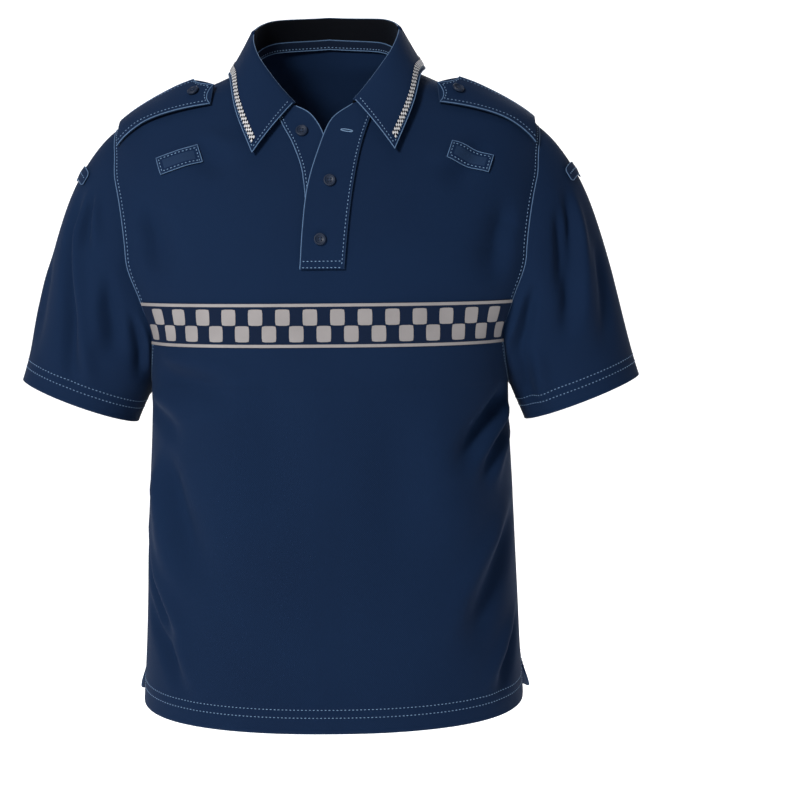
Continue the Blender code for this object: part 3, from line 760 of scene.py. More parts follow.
def edgeAngle(height, back):
    side = sideAngle(height)
    if height <= shirt["underarm"]:
        return math.pi - side if back else side
    swing = armholeSwing(height)
    if back:
        return max(armhole(math.pi - swing)[0], math.pi - side)
    return min(armhole(swing)[0], side)


def coons(bottom, top, left, right, u, v):  # a place inside four edges
    values = []
    for k in (0, 1):
        ruled = (1 - v) * bottom(u)[k] + v * top(u)[k] + (1 - u) * left(v)[k] + u * right(v)[k]
        corners = (1 - u) * ((1 - v) * bottom(0)[k] + v * top(0)[k])
        corners += u * ((1 - v) * bottom(1)[k] + v * top(1)[k])
        values.append(ruled - corners)
    return values


def shoulderAndNeck(share, neckTo, back):
    ridge = math.pi / 2 + (shirt["ridgeNudge"] if back else -shirt["ridgeNudge"])
    shoulderPoint, shoulderShare = shirt["shoulderPoint"], shirt["shoulderShare"]
    if share <= shoulderShare:
        return ridge, shoulderPoint + (shirt["neckPoint"] - shoulderPoint) * share / shoulderShare
    part = (share - shoulderShare) / (1 - shoulderShare)
    angle, height, _ = neckline(90.0 + (neckTo - 90.0) * part)
    return (ridge if part == 0 else angle), height


def upperHalf(u, v, innerEdge, neckTo, back):
    def left(share):
        swing = math.pi / 2 * share
        return armhole(math.pi - swing if back else swing)

    def top(share):
        return shoulderAndNeck(share, neckTo, back)

    def bottom(share):
        outer, inner = left(0), innerEdge(0)
        return outer[0] + (inner[0] - outer[0]) * share, outer[1] + (inner[1] - outer[1]) * share

    angle, height = coons(bottom, top, left, innerEdge, u, v)
    ridge = top(0)[0]
    return (max(angle, ridge) if back else min(angle, ridge)), height


@functools.lru_cache(maxsize=4000)
def stripEdges(table, place):  # 0 at the collar, 1 at the foot
    rows = tuple((index, *row) for index, row in enumerate(table))
    return readTable(rows, place * (len(table) - 1))


def cutEdge(table, side, share):  # an edge of the cut, tucked under the strip that covers it
    leftX, leftZ, rightX, rightZ = stripEdges(table, 1 - share)
    tuck = shirt["placketTuck"]
    return (leftX + tuck, leftZ) if side < 0 else (rightX - tuck, rightZ)


@functools.lru_cache(maxsize=4000)
def cutX(side, height):
    table = underPlacket if side < 0 else overPlacket
    low, high = 0.0, 1.0
    for _ in range(24):
        middle = (low + high) / 2
        low, high = (middle, high) if cutEdge(table, side, middle)[1] < height else (low, middle)
    return cutEdge(table, side, low)[0]


def frontUpper(u, rise):
    if u < 0.5:
        side, part = -1, min(u / panels["cutFrom"], 1.0)
    else:
        side, part = 1, min((1 - u) / (1 - panels["cutTo"]), 1.0)
    endAngle, endHeight, _ = neckline(panels["neckTurn"])
    endX = bodyPoint(endAngle, endHeight).x

    def innerEdge(share):
        height = placketCut + (endHeight - placketCut) * share
        x = cutX(side, height) if share < 1 else endX * side
        return side * frontAngle(x, height), height

    angle, height = upperHalf(part, rise, innerEdge, panels["neckTurn"], False)
    return side * angle, height


def rowHeight(share):
    low, bodyShare = shirt["hemCentre"], panels["bodyRows"]
    if share <= bodyShare:
        return low + (shirt["underarm"] - low) * share / bodyShare
    return armhole(-math.pi / 2 * (1 - (share - bodyShare) / (1 - bodyShare)))[1]


def settleHem(angle, height, cornerSize):
    low = shirt["hemCentre"]
    share = min(1.0, max(0.0, (height - low) / (shirt["underarm"] - low)))
    return height + (hemHeight(angle, cornerSize) - low) * (1 - share) ** shirt["hemSettlePower"]


def frontPlace(u, v):
    split = panels["lowerRows"]
    if v > split + 1e-6:
        return frontUpper(u, (v - split) / (1 - split))
    height = rowHeight(v / split)
    edge = edgeAngle(height, False)
    cutFrom, cutTo = panels["cutFrom"], panels["cutTo"]
    left = frontAngle(cutX(-1, placketCut), height)
    right = frontAngle(cutX(1, placketCut), height)
    if u <= cutFrom:
        angle = -edge + (left + edge) * u / cutFrom
    elif u < cutTo:
        angle = left + (right - left) * (u - cutFrom) / (cutTo - cutFrom)
    else:
        angle = right + (edge - right) * (u - cutTo) / (1 - cutTo)
    return angle, settleHem(angle, height, shirt["frontCorner"])


def backPlace(u, v):
    split = panels["lowerRows"]
    if v > split + 1e-6:
        part = min(u, 1 - u) * 2
        neckHeight = neckline(0.0)[1]

        def middle(share):
            return math.pi, placketCut + (neckHeight - placketCut) * share

        angle, height = upperHalf(part, (v - split) / (1 - split), middle, 0.0, True)
        return (angle if u <= 0.5 else 2 * math.pi - angle), height
    height = rowHeight(v / split)
    edge = edgeAngle(height, True)
    angle = edge + (2 * math.pi - 2 * edge) * u
    return angle, settleHem(angle, height, shirt["backCorner"])


def wallAt(fromHem):  # the hem is two layers
    return shirt["wall"] + (shirt["hemLayer"] if fromHem < shirt["hemTurnUp"] else 0.0)


def panelWall(place, cornerSize):
    def spot(u, v):
        angle, height = place(u, v)
        point, normal = onBody(angle, height)
        fromHem = max(0.0, height - hemHeight(angle, cornerSize))
        return point, normal * -wallAt(fromHem), fromHem

    return spot


def inPlacketCut(column, row):
    above = row > panels["lowerRows"] * panels["rows"]
    return above and panels["cutFrom"] < column / panels["columns"] < panels["cutTo"]


front = clothWall("front_panel", panels["columns"], panels["rows"], panels["frontFlat"],
                  panelWall(frontPlace, shirt["frontCorner"]), [navyKnit], cut=inPlacketCut)
declareCloth(front, "front", panels["frontFlat"], panels["frontArea"], rests=["collar_cloth"])
print("front made")
back = clothWall("back_panel", panels["columns"], panels["rows"], panels["backFlat"],
                 panelWall(backPlace, shirt["backCorner"]), [navyKnit])
declareCloth(back, "back", panels["backFlat"], panels["backArea"], rests=["collar_cloth"])
print("back made")


# sleeves

sleeve = {
    "hemCentre": Vector((0.2805, 0.0, -0.3605)),
    "hemOut": Vector((0.934, 0.0, 0.358)),
    "hemHalfWidth": 0.0685,
    "hemHalfDepth": 0.062,
    "arrive": Vector((0.33, 0.0, -0.94)),
    "seamGap": 0.0002,
    "tension": 0.30,
    "curveLonger": 1.02,  # the curve against the straight line from seam to hem
    "closeRows": 0.9,
    "foldsFrom": 0.03,
    "foldsSpan": 0.14,
    "columns": 132,
    "rows": 92,
    "flat": (0.47, 0.33),
    "area": 0.095,
}


def sleevePoint(swing, along):  # 0 at the armhole, 1 at the hem
    start = bodyPoint(*armhole(swing))
    top, side = math.sin(swing), math.cos(swing)
    leave = Vector((0.57 + 0.23 * top, -0.22 * side, -0.78 + 0.18 * top)).normalized()
    start = start + leave * sleeve["seamGap"]
    end = sleeve["hemCentre"] + sleeve["hemOut"] * sleeve["hemHalfWidth"] * top
    end = end + Vector((0, -sleeve["hemHalfDepth"] * side, 0))
    reach = (end - start).length * sleeve["tension"]
    rest = 1 - along
    return (start * rest**3 + (start + leave * reach) * (3 * rest**2 * along)
            + (end - sleeve["arrive"] * reach) * (3 * rest * along**2) + end * along**3)


def sleeveOutside(swing, minusAlong):
    return sleevePoint(swing, -minusAlong)


def sleeveSpot(folds):
    def spot(swing, along, lift=0.0):
        point, normal = spotOn(sleeveOutside, swing, -max(along, 2 * tiny))
        moved = foldLift(point, folds) + noise.noise(point * ripple["sleeveScale"]) * ripple["height"]
        moved *= ease((along - sleeve["foldsFrom"]) / sleeve["foldsSpan"])
        return point + normal * (lift + moved), normal

    return spot


def placeOnSleeve(degrees, along):
    return spotOn(sleeveOutside, math.radians(degrees), -along)


onRightSleeve = sleeveSpot(placedFolds(rightSleeveFolds, placeOnSleeve, fold["sleeveDepth"]))
onLeftSleeve = sleeveSpot(placedFolds(leftSleeveFolds, placeOnSleeve, fold["sleeveDepth"]))


@functools.lru_cache(maxsize=400)
def straightLength(degrees):
    swing = math.radians(degrees)
    return (sleevePoint(swing, 1) - sleevePoint(swing, 0)).length


def sleeveLength(swing):
    return straightLength(round(math.degrees(swing)))


def alongSleeve(swing, fromHem):  # the share of the way down that is so far above the hem
    return 1 - fromHem / (sleeveLength(swing) * sleeve["curveLonger"])


def sleeveWall(onSleeve):
    def spot(u, v):
        swing = -math.pi / 2 + 2 * math.pi * (u % 1.0)
        along = 1 - v
        if v > sleeve["closeRows"]:  # closer rows at the seam
            along = (1 - v) * (0.4 + 0.6 * (1 - v) / (1 - sleeve["closeRows"]))
        point, normal = onSleeve(swing, along)
        fromHem = (1 - along) * sleeveLength(swing) * sleeve["curveLonger"]
        return point, normal * -wallAt(fromHem), fromHem

    return spot


for side, onSleeve, flipped in (("right", onRightSleeve, False), ("left", onLeftSleeve, True)):
    piece = clothWall("sleeve_cloth_" + side, sleeve["columns"], sleeve["rows"], sleeve["flat"],
                      sleeveWall(onSleeve), [navyKnit], closed=True, mirrored=flipped)
    declareCloth(piece, "sleeve_" + side, sleeve["flat"], sleeve["area"], rests=["front_panel"])
print("sleeves made")


# armhole seams, hems and vents

seams = {
    "lift": 0.0002,
    "armholeInset": 0.0030,
    "ventInset": 0.0045,
    "ventDepth": 0.15,
    "ventSpan": (0.004, -0.672),  # above the vent's top, and the lowest stitch
    "ventFloor": 0.002,
}


def bothSides(lines):
    return lines + [mirrorLine(spots) for spots in lines]


def armholeSpot(out, lift):
    def spot(degrees):
        return onBody(*armhole(math.radians(degrees), out), lift)

    return spot


seamLines = bothSides([line(armholeSpot(0.0, seams["lift"]), -90, 270, 150)])
armholeStitches = bothSides([line(armholeSpot(seams["armholeInset"], 0.0), -84, 264, 150)])


def hemSpot(fromHem, cornerSize):
    def spot(angle):
        return onBody(angle, hemHeight(angle, cornerSize) + fromHem)

    return spot


def ventSpot(back):
    cornerSize = shirt["backCorner"] if back else shirt["frontCorner"]

    def spot(height):
        edge = sideAngle(height) - seams["ventInset"] / seams["ventDepth"]
        angle = math.pi - edge if back else edge
        return onBody(angle, max(height, hemHeight(angle, cornerSize) + seams["ventFloor"]))

    return spot


hemStitches = []
for fromHem in hemRows:
    hemStitches.append(line(hemSpot(fromHem, shirt["frontCorner"]), -1.41, 1.41, 160))
    hemStitches.append(line(hemSpot(fromHem, shirt["backCorner"]), math.pi - 1.44, math.pi + 1.44, 160))
ventFrom, ventTo = shirt["ventTop"] + seams["ventSpan"][0], seams["ventSpan"][1]
hemStitches += bothSides([line(ventSpot(facesBack), ventFrom, ventTo, 12) for facesBack in (False, True)])


def sleeveHemLine(onSleeve, fromHem):
    def spot(degrees):
        swing = math.radians(degrees)
        return onSleeve(swing, alongSleeve(swing, fromHem))

    return line(spot, -90, 270, 120)


sleeveStitches = []
for fromHem in hemRows:
    sleeveStitches.append(sleeveHemLine(onRightSleeve, fromHem))
    sleeveStitches.append(mirrorLine(sleeveHemLine(onLeftSleeve, fromHem)))
cordPiece("armhole_seams", seamLines)
sewPiece("stitches_armholes", armholeStitches)
sewPiece("stitches_hems", hemStitches)
sewPiece("stitches_sleeves", sleeveStitches)
print("seams made")


# placket strips

placket = {
    "wall": 0.0011,
    "underLift": 0.0016,
    "overLift": 0.0034,
    "flat": (0.045, 0.19),
    "underFlat": (0.034, 0.19),
    "edge": 0.0001,  # where the cord lies, in from the edge
    "inset": 0.0030,
    "crowd": 0.06,  # columns crowd towards both edges
    "footRows": (0.963, 0.993),
    "soften": 0.0004,
}


def stripSpot(table, lift):
    def spot(u, v, extra=0.0):  # u across from the left edge, v down from the collar
        leftX, leftZ, rightX, rightZ = stripEdges(table, v)
        return onFront(leftX + (rightX - leftX) * u, leftZ + (rightZ - leftZ) * u, lift + extra)

    return spot


def stripWidth(table, v):
    leftX, leftZ, rightX, rightZ = stripEdges(table, v)
    return math.hypot(rightX - leftX, rightZ - leftZ)


def stripWall(spotAt, table):
    def spot(u, v):
        u = u - placket["crowd"] * math.sin(2 * math.pi * u)
        point, normal = spotAt(u, 1 - v)
        fromEdge = min(u, 1 - u) * stripWidth(table, 1 - v)
        return point, normal * -placket["wall"], fromEdge

    return spot


def insetLine(spotAt, table, side, inset, start, end, steps):
    def spot(v):
        share = inset / stripWidth(table, v)
        return spotAt(share if side < 0 else 1 - share, v)

    return line(spot, start, end, steps)


def makeStrip(name, node, columns, rows, flat, spotAt, table):
    strip = clothWall(name, columns, rows, flat, stripWall(spotAt, table), [navyTrim])
    declareCloth(softenEdges(strip, placket["soften"]), node, flat, rests=["front_panel"])


onUnder = stripSpot(underPlacket, placket["underLift"])
onOver = stripSpot(overPlacket, placket["overLift"])
makeStrip("placket_lower", "placket_under", 14, 64, placket["underFlat"], onUnder, underPlacket)
makeStrip("placket_upper", "placket_over", 16, 72, placket["flat"], onOver, overPlacket)
placketCords = [
    insetLine(onUnder, underPlacket, -1, placket["edge"], 0.04, 0.80, 50),
    insetLine(onUnder, underPlacket, 1, placket["edge"], 0.04, 0.60, 44),
    insetLine(onOver, overPlacket, -1, placket["edge"], 0.0, 1.0, 70),
]
placketStitches = [
    insetLine(onUnder, underPlacket, -1, placket["inset"], 0.06, 0.80, 50),
    insetLine(onOver, overPlacket, 1, placket["inset"], 0.10, 0.985, 70),
]
placketStitches += [line(lambda u: onOver(u, down), 0.03, 0.97, 14) for down in placket["footRows"]]
cordPiece("placket_edges", placketCords)
sewPiece("stitches_placket", placketStitches)
buttonhole = {"place": (0.0244, -0.0690), "reach": 0.0063, "width": 0.0011, "tilt": -9.0, "lift": 0.0002,
              "cord": 0.0005}


def buttonholeSpot(turn):
    x, z = buttonhole["place"]
    tilt = math.radians(buttonhole["tilt"])
    along = buttonhole["reach"] * math.cos(turn)
    up = buttonhole["width"] * math.sin(turn)
    return onFront(x + along * math.cos(tilt) - up * math.sin(tilt),
                   z + along * math.sin(tilt) + up * math.cos(tilt), placket["overLift"] + buttonhole["lift"])


cordPiece("buttonhole", [line(buttonholeSpot, 0, 2 * math.pi, 36)], stitchThread, buttonhole["cord"])
print("placket made")


# collar: one cloth up the stand, over the fold and down the leaf

collar = {
    "wall": 0.0017,
    "turns": 158.0,
    "columns": 210,
    "step": 0.0020,
    "frontStep": 0.0020,
    "bulge": 0.0035,
    "tilt": 0.004,
    "lean": 0.10,
    "upwards": 0.25,
    "seamRise": 0.0006,
    "soften": 0.0005,
    "edge": 0.0002,
    "standRows": 6,
    "foldRows": 5,
    "leafRows": 20,
    "flat": (0.52, 0.115),
    "area": 0.046,
    "stitchInset": 0.0036,
}


def collarTilt(turn):  # a little higher towards its +X front end
    side = math.radians(turn)
    return collar["tilt"] * math.sin(side) * (1 - math.cos(side)) / 2


def seamSpot(turn):
    angle, height, stand = neckline(turn)
    return bodyPoint(angle, height), stand + collarTilt(turn)


def foldPoint(turn):
    seam, stand = seamSpot(turn)
    lean = Vector((seam.x, seam.y, 0)).normalized() * -collar["lean"]
    return seam + (Vector((0, 0, 1)) + lean) * stand


def leafEdge(turn):
    x, y, z = readTable(leafEdgeTable, abs(turn))
    return Vector((math.copysign(x, turn), y, z + collarTilt(turn)))


def outwards(turn):
    side = math.radians(turn)
    return Vector((math.sin(side), math.cos(side), collar["upwards"])).normalized()


def collarStep(turn):
    ahead = -math.cos(math.radians(turn))
    return collar["step"] + collar["frontStep"] * max(0.0, ahead) ** 2


def leafPoint(turn, down):  # the leaf's outer face
    ahead = -math.cos(math.radians(turn))
    fold = foldPoint(turn) + outwards(turn) * collarStep(turn)
    bulge = outwards(turn) * collar["bulge"] * ahead**2 * 4 * down * (1 - down)
    return fold + (leafEdge(turn) - fold) * down + bulge


def onLeaf(turn, down, lift=0.0):
    point, normal = spotOn(lambda a, b: leafPoint(-a, -b), -turn, -down)
    return point + normal * lift, normal


def leafLength(turn):
    return (leafEdge(turn) - leafPoint(turn, 0.0)).length


@functools.lru_cache(maxsize=400)
def collarColumn(turn):  # the middle of the cloth, from the neck seam to the leaf's edge
    seam, _ = seamSpot(turn)
    seam = seam + Vector((0, 0, collar["seamRise"]))
    half = collar["wall"] / 2
    top = foldPoint(turn)
    inset = Vector((seam.x, seam.y, 0)).normalized() * half
    radius = collarStep(turn) / 2
    sink = Vector((0, 0, radius + half))
    standTop, leafTop = top - inset - sink, leafPoint(turn, 0.0) - outwards(turn) * half - sink
    standFoot = seam - inset
    column = [standFoot + (standTop - standFoot) * row / collar["standRows"]
              for row in range(collar["standRows"] + 1)]
    centre, reach = (standTop + leafTop) / 2, (leafTop - standTop) / 2
    for row in range(1, collar["foldRows"] + 1):
        swing = math.pi * row / (collar["foldRows"] + 1)
        column.append(centre - reach * math.cos(swing) + Vector((0, 0, radius)) * math.sin(swing))
    firstDown = min(0.25, (sink.length * 1.15) / leafLength(turn))
    for row in range(collar["leafRows"] + 1):
        down = firstDown + (1 - firstDown) * row / collar["leafRows"]
        column.append(onLeaf(turn, down, -half)[0])
    return column


def makeCollar():
    rows = collar["standRows"] + collar["foldRows"] + collar["leafRows"] + 1
    columns = collar["columns"]
    mesh = bmesh.new()
    bmesh.ops.create_grid(mesh, x_segments=columns, y_segments=rows, size=0.5)
    spot = mesh.verts.layers.float_vector.new("flat")
    for face in mesh.faces:
        # the stand and the foot of the fold take the near-black painted shade
        row = (face.calc_center_median().y + 0.5) * rows
        face.material_index = 1 if row < collar["standRows"] + 2 else 0
    for vertex in mesh.verts:
        share, row = vertex.co.x + 0.5, round((vertex.co.y + 0.5) * rows)
        turn = collar["turns"] * (1 - 2 * share)
        fromEdge = (rows - row) / collar["leafRows"] * leafLength(turn)
        vertex[spot] = (share * collar["flat"][0], row / rows * collar["flat"][1], fromEdge)
        vertex.co = collarColumn(round(turn, 6))[row]
    bmesh.ops.recalc_face_normals(mesh, faces=mesh.faces)
    piece = addObject("collar_cloth", mesh, [navyTrim, collarPaintedShade])
    thicken = piece.modifiers.new("thickness", "SOLIDIFY")
    thicken.thickness = collar["wall"]
    thicken.offset = 0.0
    thicken.use_even_offset = True
    return softenEdges(piece, collar["soften"])


collarCloth = makeCollar()
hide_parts("collar_stand", "collar_leaf")


def leafRow(turn, fromEdge, lift=0.0):
    return onLeaf(turn, 1 - fromEdge / leafLength(turn), lift)


def foldCrest(turn):
    middle = collarColumn(round(turn, 6))[collar["standRows"] + 2]
    return middle + Vector((0, 0, collar["wall"] / 2)), Vector((0, 0, 1))


turns, inset = collar["turns"], collar["stitchInset"]
collarCords = [line(lambda turn: leafRow(turn, collar["edge"]), -turns, turns, 190),
               line(foldCrest, -turns, turns, 170)]
collarStitches = [line(lambda turn: leafRow(turn, inset), -turns + 2.4, turns - 2.4, 190)]
for end in (-1, 1):
    collarCords.append(line(lambda down: onLeaf(end * turns, down), 0.03, 1.0, 40))
    collarStitches.append(line(lambda down: onLeaf(end * (turns - 2.5 + 0.7 * down), down), 0.05, 0.95, 40))
cordPiece("collar_edges", collarCords)
sewPiece("stitches_collar", collarStitches)
print("collar made")


# checked tape round the leaf

checkTape = {"fromEdge": 0.0045, "width": 0.0075, "wall": 0.0006, "lift": 0.0004, "checks": 3,
             "endTurn": 153.5, "fineSteps": 900, "flat": (0.50, 0.0075)}


def evenTurns(count, endTurn, fromEdge):  # turns that lie evenly along the leaf
    steps = checkTape["fineSteps"]
    fine = [(-1 + 2 * step / steps) * endTurn for step in range(steps + 1)]
    places = [leafRow(turn, fromEdge)[0] for turn in fine]
    run = [0.0]
    for start, end in zip(places, places[1:]):
        run.append(run[-1] + (end - start).length)
    found, index = [], 0
    for step in range(count + 1):
        goal = run[-1] * step / count
        while index < steps - 1 and run[index + 1] < goal:
            index += 1
        part = (goal - run[index]) / (run[index + 1] - run[index])
        found.append(fine[index] + (fine[index + 1] - fine[index]) * part)
    return found, run[-1]


tapeMiddle = checkTape["fromEdge"] + checkTape["width"] / 2
_, tapeLength = evenTurns(10, checkTape["endTurn"], tapeMiddle)
checkCount = round(tapeLength / (checkTape["width"] / checkTape["checks"]))
tapeTurns, _ = evenTurns(checkCount, checkTape["endTurn"], tapeMiddle)


def tapeSpot(u, v):
    turn = tapeTurns[round(u * checkCount)]
    fromEdge = checkTape["fromEdge"] + checkTape["width"] * v
    point, normal = leafRow(turn, fromEdge, checkTape["lift"] + checkTape["wall"])
    return point, normal * -checkTape["wall"], min(v, 1 - v) * checkTape["width"]


checks = clothWall("collar_checks", checkCount, checkTape["checks"], checkTape["flat"], tapeSpot,
                   [checkWhite, checkBlack], paint=lambda column, row: (int(column) + int(row)) % 2)
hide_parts("collar_check_tape")


# neck tape

neckTape = {"width": 0.0105, "end": 84.0, "clear": 0.0032, "wall": 0.0008, "stitchUp": 0.22,
            "soften": 0.0003, "flat": (0.20, 0.0105)}


def neckSpot(turn, up, lift=0.0):
    angle, height, _ = neckline(turn)
    seam = bodyPoint(angle, height)
    inwards = Vector((-seam.x, -seam.y, 0)).normalized()
    clear = shirt["wall"] + neckTape["clear"] + lift
    return seam + inwards * clear + Vector((0, 0, neckTape["width"] * (up - 0.5))), inwards


def neckWall(u, v):
    point, inwards = neckSpot(neckTape["end"] * (1 - 2 * u), v)
    return point, inwards * -neckTape["wall"], min(v, 1 - v) * neckTape["width"]


tape = clothWall("neck_tape_cloth", 90, 6, neckTape["flat"], neckWall, [tapeCloth])
declareCloth(softenEdges(tape, neckTape["soften"]), "neck_tape", neckTape["flat"],
             rests=["back_panel"])
tapeEnd = neckTape["end"]
cordPiece("neck_tape_edges", [line(lambda turn: neckSpot(turn, up, 0.0001), -tapeEnd, tapeEnd, 90)
                              for up in (0.0, 1.0)])
sewPiece("stitches_neck_tape", [line(lambda turn: neckSpot(turn, neckTape["stitchUp"]),
                                     -tapeEnd + 2, tapeEnd - 2, 90)])
print("tapes made")


# checked chest bands

band = {
    "top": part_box("chest_band_front")[1].z,
    "bottom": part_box("chest_band_front")[0].z,
    "line": 0.0032,  # the plain lines above and below the checks
    "gap": 0.0026,
    "check": 0.0170,
    "checkWidth": 0.0152,
    "pitch": 0.0288,
    "wall": 0.0006,
    "lift": 0.0006,
    "raise": 0.00025,
    "sink": 0.0001,
    "endClear": 0.0008,
    "sideClear": 0.004,  # an angle
    "checkClear": 0.0015,
    "narrowest": 0.003,
    "roundCorner": 0.93,
    "leanPower": 5,
    "frontFlat": (0.47, 0.046),
    "backFlat": (0.46, 0.046),
}
band["middle"] = (band["top"] + band["bottom"]) / 2
bandRows = (0.0, 0.0032, 0.0058, 0.0140, 0.0230, 0.0320, 0.0402, 0.0428, 0.0460)


def girthTable(back):  # (girth from the middle, angle) along the middle of the band
    height = band["middle"]
    edge = edgeAngle(height, back)
    start, end = (math.pi, edge) if back else (0.0, edge)
    rows, last, girth = [], bodyPoint(start, height), 0.0
    for step in range(401):
        angle = start + (end - start) * step / 400
        point = bodyPoint(angle, height)
        girth += (point - last).length
        rows.append((girth, angle))
        last = point
    return rows


def bandAngle(rows, girth):
    goal, index = abs(girth), 1
    while index < len(rows) - 1 and rows[index][0] < goal:
        index += 1
    (low, first), (high, second) = rows[index - 1], rows[index]
    angle = first + (second - first) * (goal - low) / (high - low)
    return angle if girth >= 0 else 2 * math.pi - angle


def bandSpot(rows, girth, up, lift):  # upright in the middle, leaning with the body near the seams
    angle, height = bandAngle(rows, girth), band["bottom"] + up
    x = bodyPoint(angle, band["middle"]).x
    middleWidth, width = readTable(bodySections, band["middle"])[0], readTable(bodySections, height)[0]
    x *= 1 + (abs(x) / middleWidth) ** band["leanPower"] * (width / middleWidth - 1)
    if math.cos(angle) > 0:
        return onFront(x, height, lift)
    return onBody(backAngle(x, height), height, lift)


def checkPatch(mesh, rows, low, high, up):  # one silver check, its corners a little round
    spot = mesh.verts.layers.float_vector["flat"]
    half = Vector(((high - low) / 2, band["check"] / 2))
    girth = (low + high) / 2
    made = bmesh.ops.create_grid(mesh, x_segments=4, y_segments=4, size=1.0)["verts"]
    faces = list({face for vertex in made for face in vertex.link_faces})
    inwards = {}
    for vertex in made:
        x, z = vertex.co.xy
        if abs(x) > 0.9 and abs(z) > 0.9:
            x, z = x * band["roundCorner"], z * band["roundCorner"]
        point, normal = bandSpot(rows, girth + x * half.x, up + z * half.y,
                                 band["lift"] + band["wall"] + band["raise"])
        vertex[spot] = (girth + x * half.x, up + z * half.y,
                        min((1 - abs(x)) * half.x, (1 - abs(z)) * half.y))
        vertex.co = point
        inwards[vertex] = normal * -(band["raise"] + band["sink"])
    pairs = [(vertex.co.copy(), shift) for vertex, shift in inwards.items()]
    inner = bmesh.ops.extrude_face_region(mesh, geom=faces, use_keep_orig=True)["geom"]
    for item in inner:
        if isinstance(item, bmesh.types.BMVert):
            item.co += min(pairs, key=lambda pair: (pair[0] - item.co).length_squared)[1]


def makeBand(name, node, back, flat):
    rows = girthTable(back)
    reach = rows[-1][0] - band["endClear"]
    centre = math.pi if back else 0.0

    def place(u, v):  # from seam to seam at every height
        height = band["bottom"] + bandRows[round(v * (len(bandRows) - 1))]
        away = abs(math.remainder(bandAngle(rows, reach * (2 * u - 1)) - centre, 2 * math.pi))
        full = abs(centre - edgeAngle(band["middle"], back))
        wanted = abs(centre - edgeAngle(height, back)) - band["sideClear"]
        turn = away * wanted / full
        side = 1 if u >= 0.5 else -1
        angle = math.pi - side * turn if back else side * turn
        point, normal = onBody(angle, height, band["lift"] + band["wall"])
        return point, normal * -band["wall"], min(v, 1 - v) * flat[1]

    def paint(column, row):
        return 1 if row < 1 or row > len(bandRows) - 2 else 0

    piece = clothWall(name, 120, len(bandRows) - 1, flat, place, [bandGround, silver], paint=paint)
    rests = ["back_panel" if back else "front_panel"]
    declareCloth(piece, node, flat, rests=rests)
    mesh = bmesh.new()
    mesh.verts.layers.float_vector.new("flat")
    half, pitch = band["check"] / 2, band["pitch"]
    limit = reach - band["checkClear"]
    for up, offset in ((bandRows[6] - half, pitch / 2), (bandRows[2] + half, 0.0)):
        for step in range(-10, 10):
            low = max(step * pitch + offset - band["checkWidth"] / 2, -limit)
            high = min(step * pitch + offset + band["checkWidth"] / 2, limit)
            if high - low > band["narrowest"]:
                checkPatch(mesh, rows, low, high, up)
    bmesh.ops.recalc_face_normals(mesh, faces=mesh.faces)
    addObject(name + "_checks", mesh, [silver])


makeBand("band_front", "chest_band_front", False, band["frontFlat"])
makeBand("band_back", "chest_band_back", True, band["backFlat"])
print("bands made")


# shoulder straps

strap = {
    "outer": (0.2255, -0.018, 0.0205),  # x, y and half width at the armhole
    "inner": (0.1410, -0.034, 0.0190),
    "tip": 0.1195,
    "shoulder": 0.8,
    "skew": 0.018,  # the front edge reaches further towards the neck
    "wall": 0.0018,
    "lift": 0.0018,
    "arch": 0.0022,
    "backRise": 0.0090,
    "backRisePower": 1.5,
    "halfWidth": 0.0203,  # on average
    "wornHalf": 0.02,
    "length": 0.100,
    "edge": 0.0001,
    "inset": 0.0040,
    "soften": 0.0005,
    "flat": (0.044, 0.115),
    "area": 0.0045,
}


def strapLift(along):
    return strap["lift"] + strap["wall"] + strap["arch"] * math.sin(math.pi * min(1.0, along * 1.05))


def strapSpot(across, along, extra=0.0):  # across from -1 to 1, along from the armhole to the point
    outerX, outerY, outerHalf = strap["outer"]
    innerX, innerY, innerHalf = strap["inner"]
    share = min(along / strap["shoulder"], 1.0)
    x = outerX + (innerX - outerX) * share
    if along > strap["shoulder"]:
        past = (along - strap["shoulder"]) / (1 - strap["shoulder"])
        x += (strap["tip"] - innerX) * past * (1 - abs(across))
    x -= strap["skew"] * share * max(0.0, -across)
    half = outerHalf + (innerHalf - outerHalf) * share
    point, normal = onTop(x, outerY + (innerY - outerY) * share + half * across)
    rise = strap["backRise"] * ((1 + across) / 2) ** strap["backRisePower"] * (0.2 + 0.8 * share)
    return point + normal * (strapLift(along) + rise + extra), normal


def strapWall(u, v):
    across = 2 * u - 1
    point, normal = strapSpot(across, v)
    fromEdge = min((1 - abs(across)) * strap["wornHalf"], (1 - v) * strap["length"])
    return point, normal * -strap["wall"], fromEdge


def strapOutline(inset):  # round the strap, a distance in from its edge
    side, end = 1 - inset / strap["halfWidth"], inset / strap["length"]
    sides = [line(lambda along: strapSpot(edge * side, along), 0.0, strap["shoulder"] - end * 0.3, 26)
             for edge in (-1, 1)]
    ends = [[strapSpot(edge * side * (1 - step / 10), strap["shoulder"] - end * 0.3
                       + (1 - strap["shoulder"] - end * 0.9) * step / 10)
             for step in range(11)] for edge in (-1, 1)]
    return sides[0] + ends[0][1:] + ends[1][::-1][1:] + sides[1][::-1][1:]


for name, flipped in (("right", False), ("left", True)):
    piece = clothWall("strap_" + name, 14, 44, strap["flat"], strapWall, [navyTrim], mirrored=flipped)
    declareCloth(softenEdges(piece, strap["soften"]), "epaulette_" + name, strap["flat"],
                 strap["area"], rests=["front_panel", "back_panel"])
cordPiece("strap_edges", bothSides([strapOutline(strap["edge"])]))
sewPiece("stitches_straps", bothSides([strapOutline(strap["inset"])]))
print("straps made")


# chest loops

chestLoop = {"centre": (0.1550, -0.0965), "size": (0.0465, 0.0185), "tilt": 19.0, "wall": 0.0011,
             "lift": 0.0007, "swell": 0.0010, "inset": (0.110, 0.280), "cord": 0.00045, "soften": 0.0004}


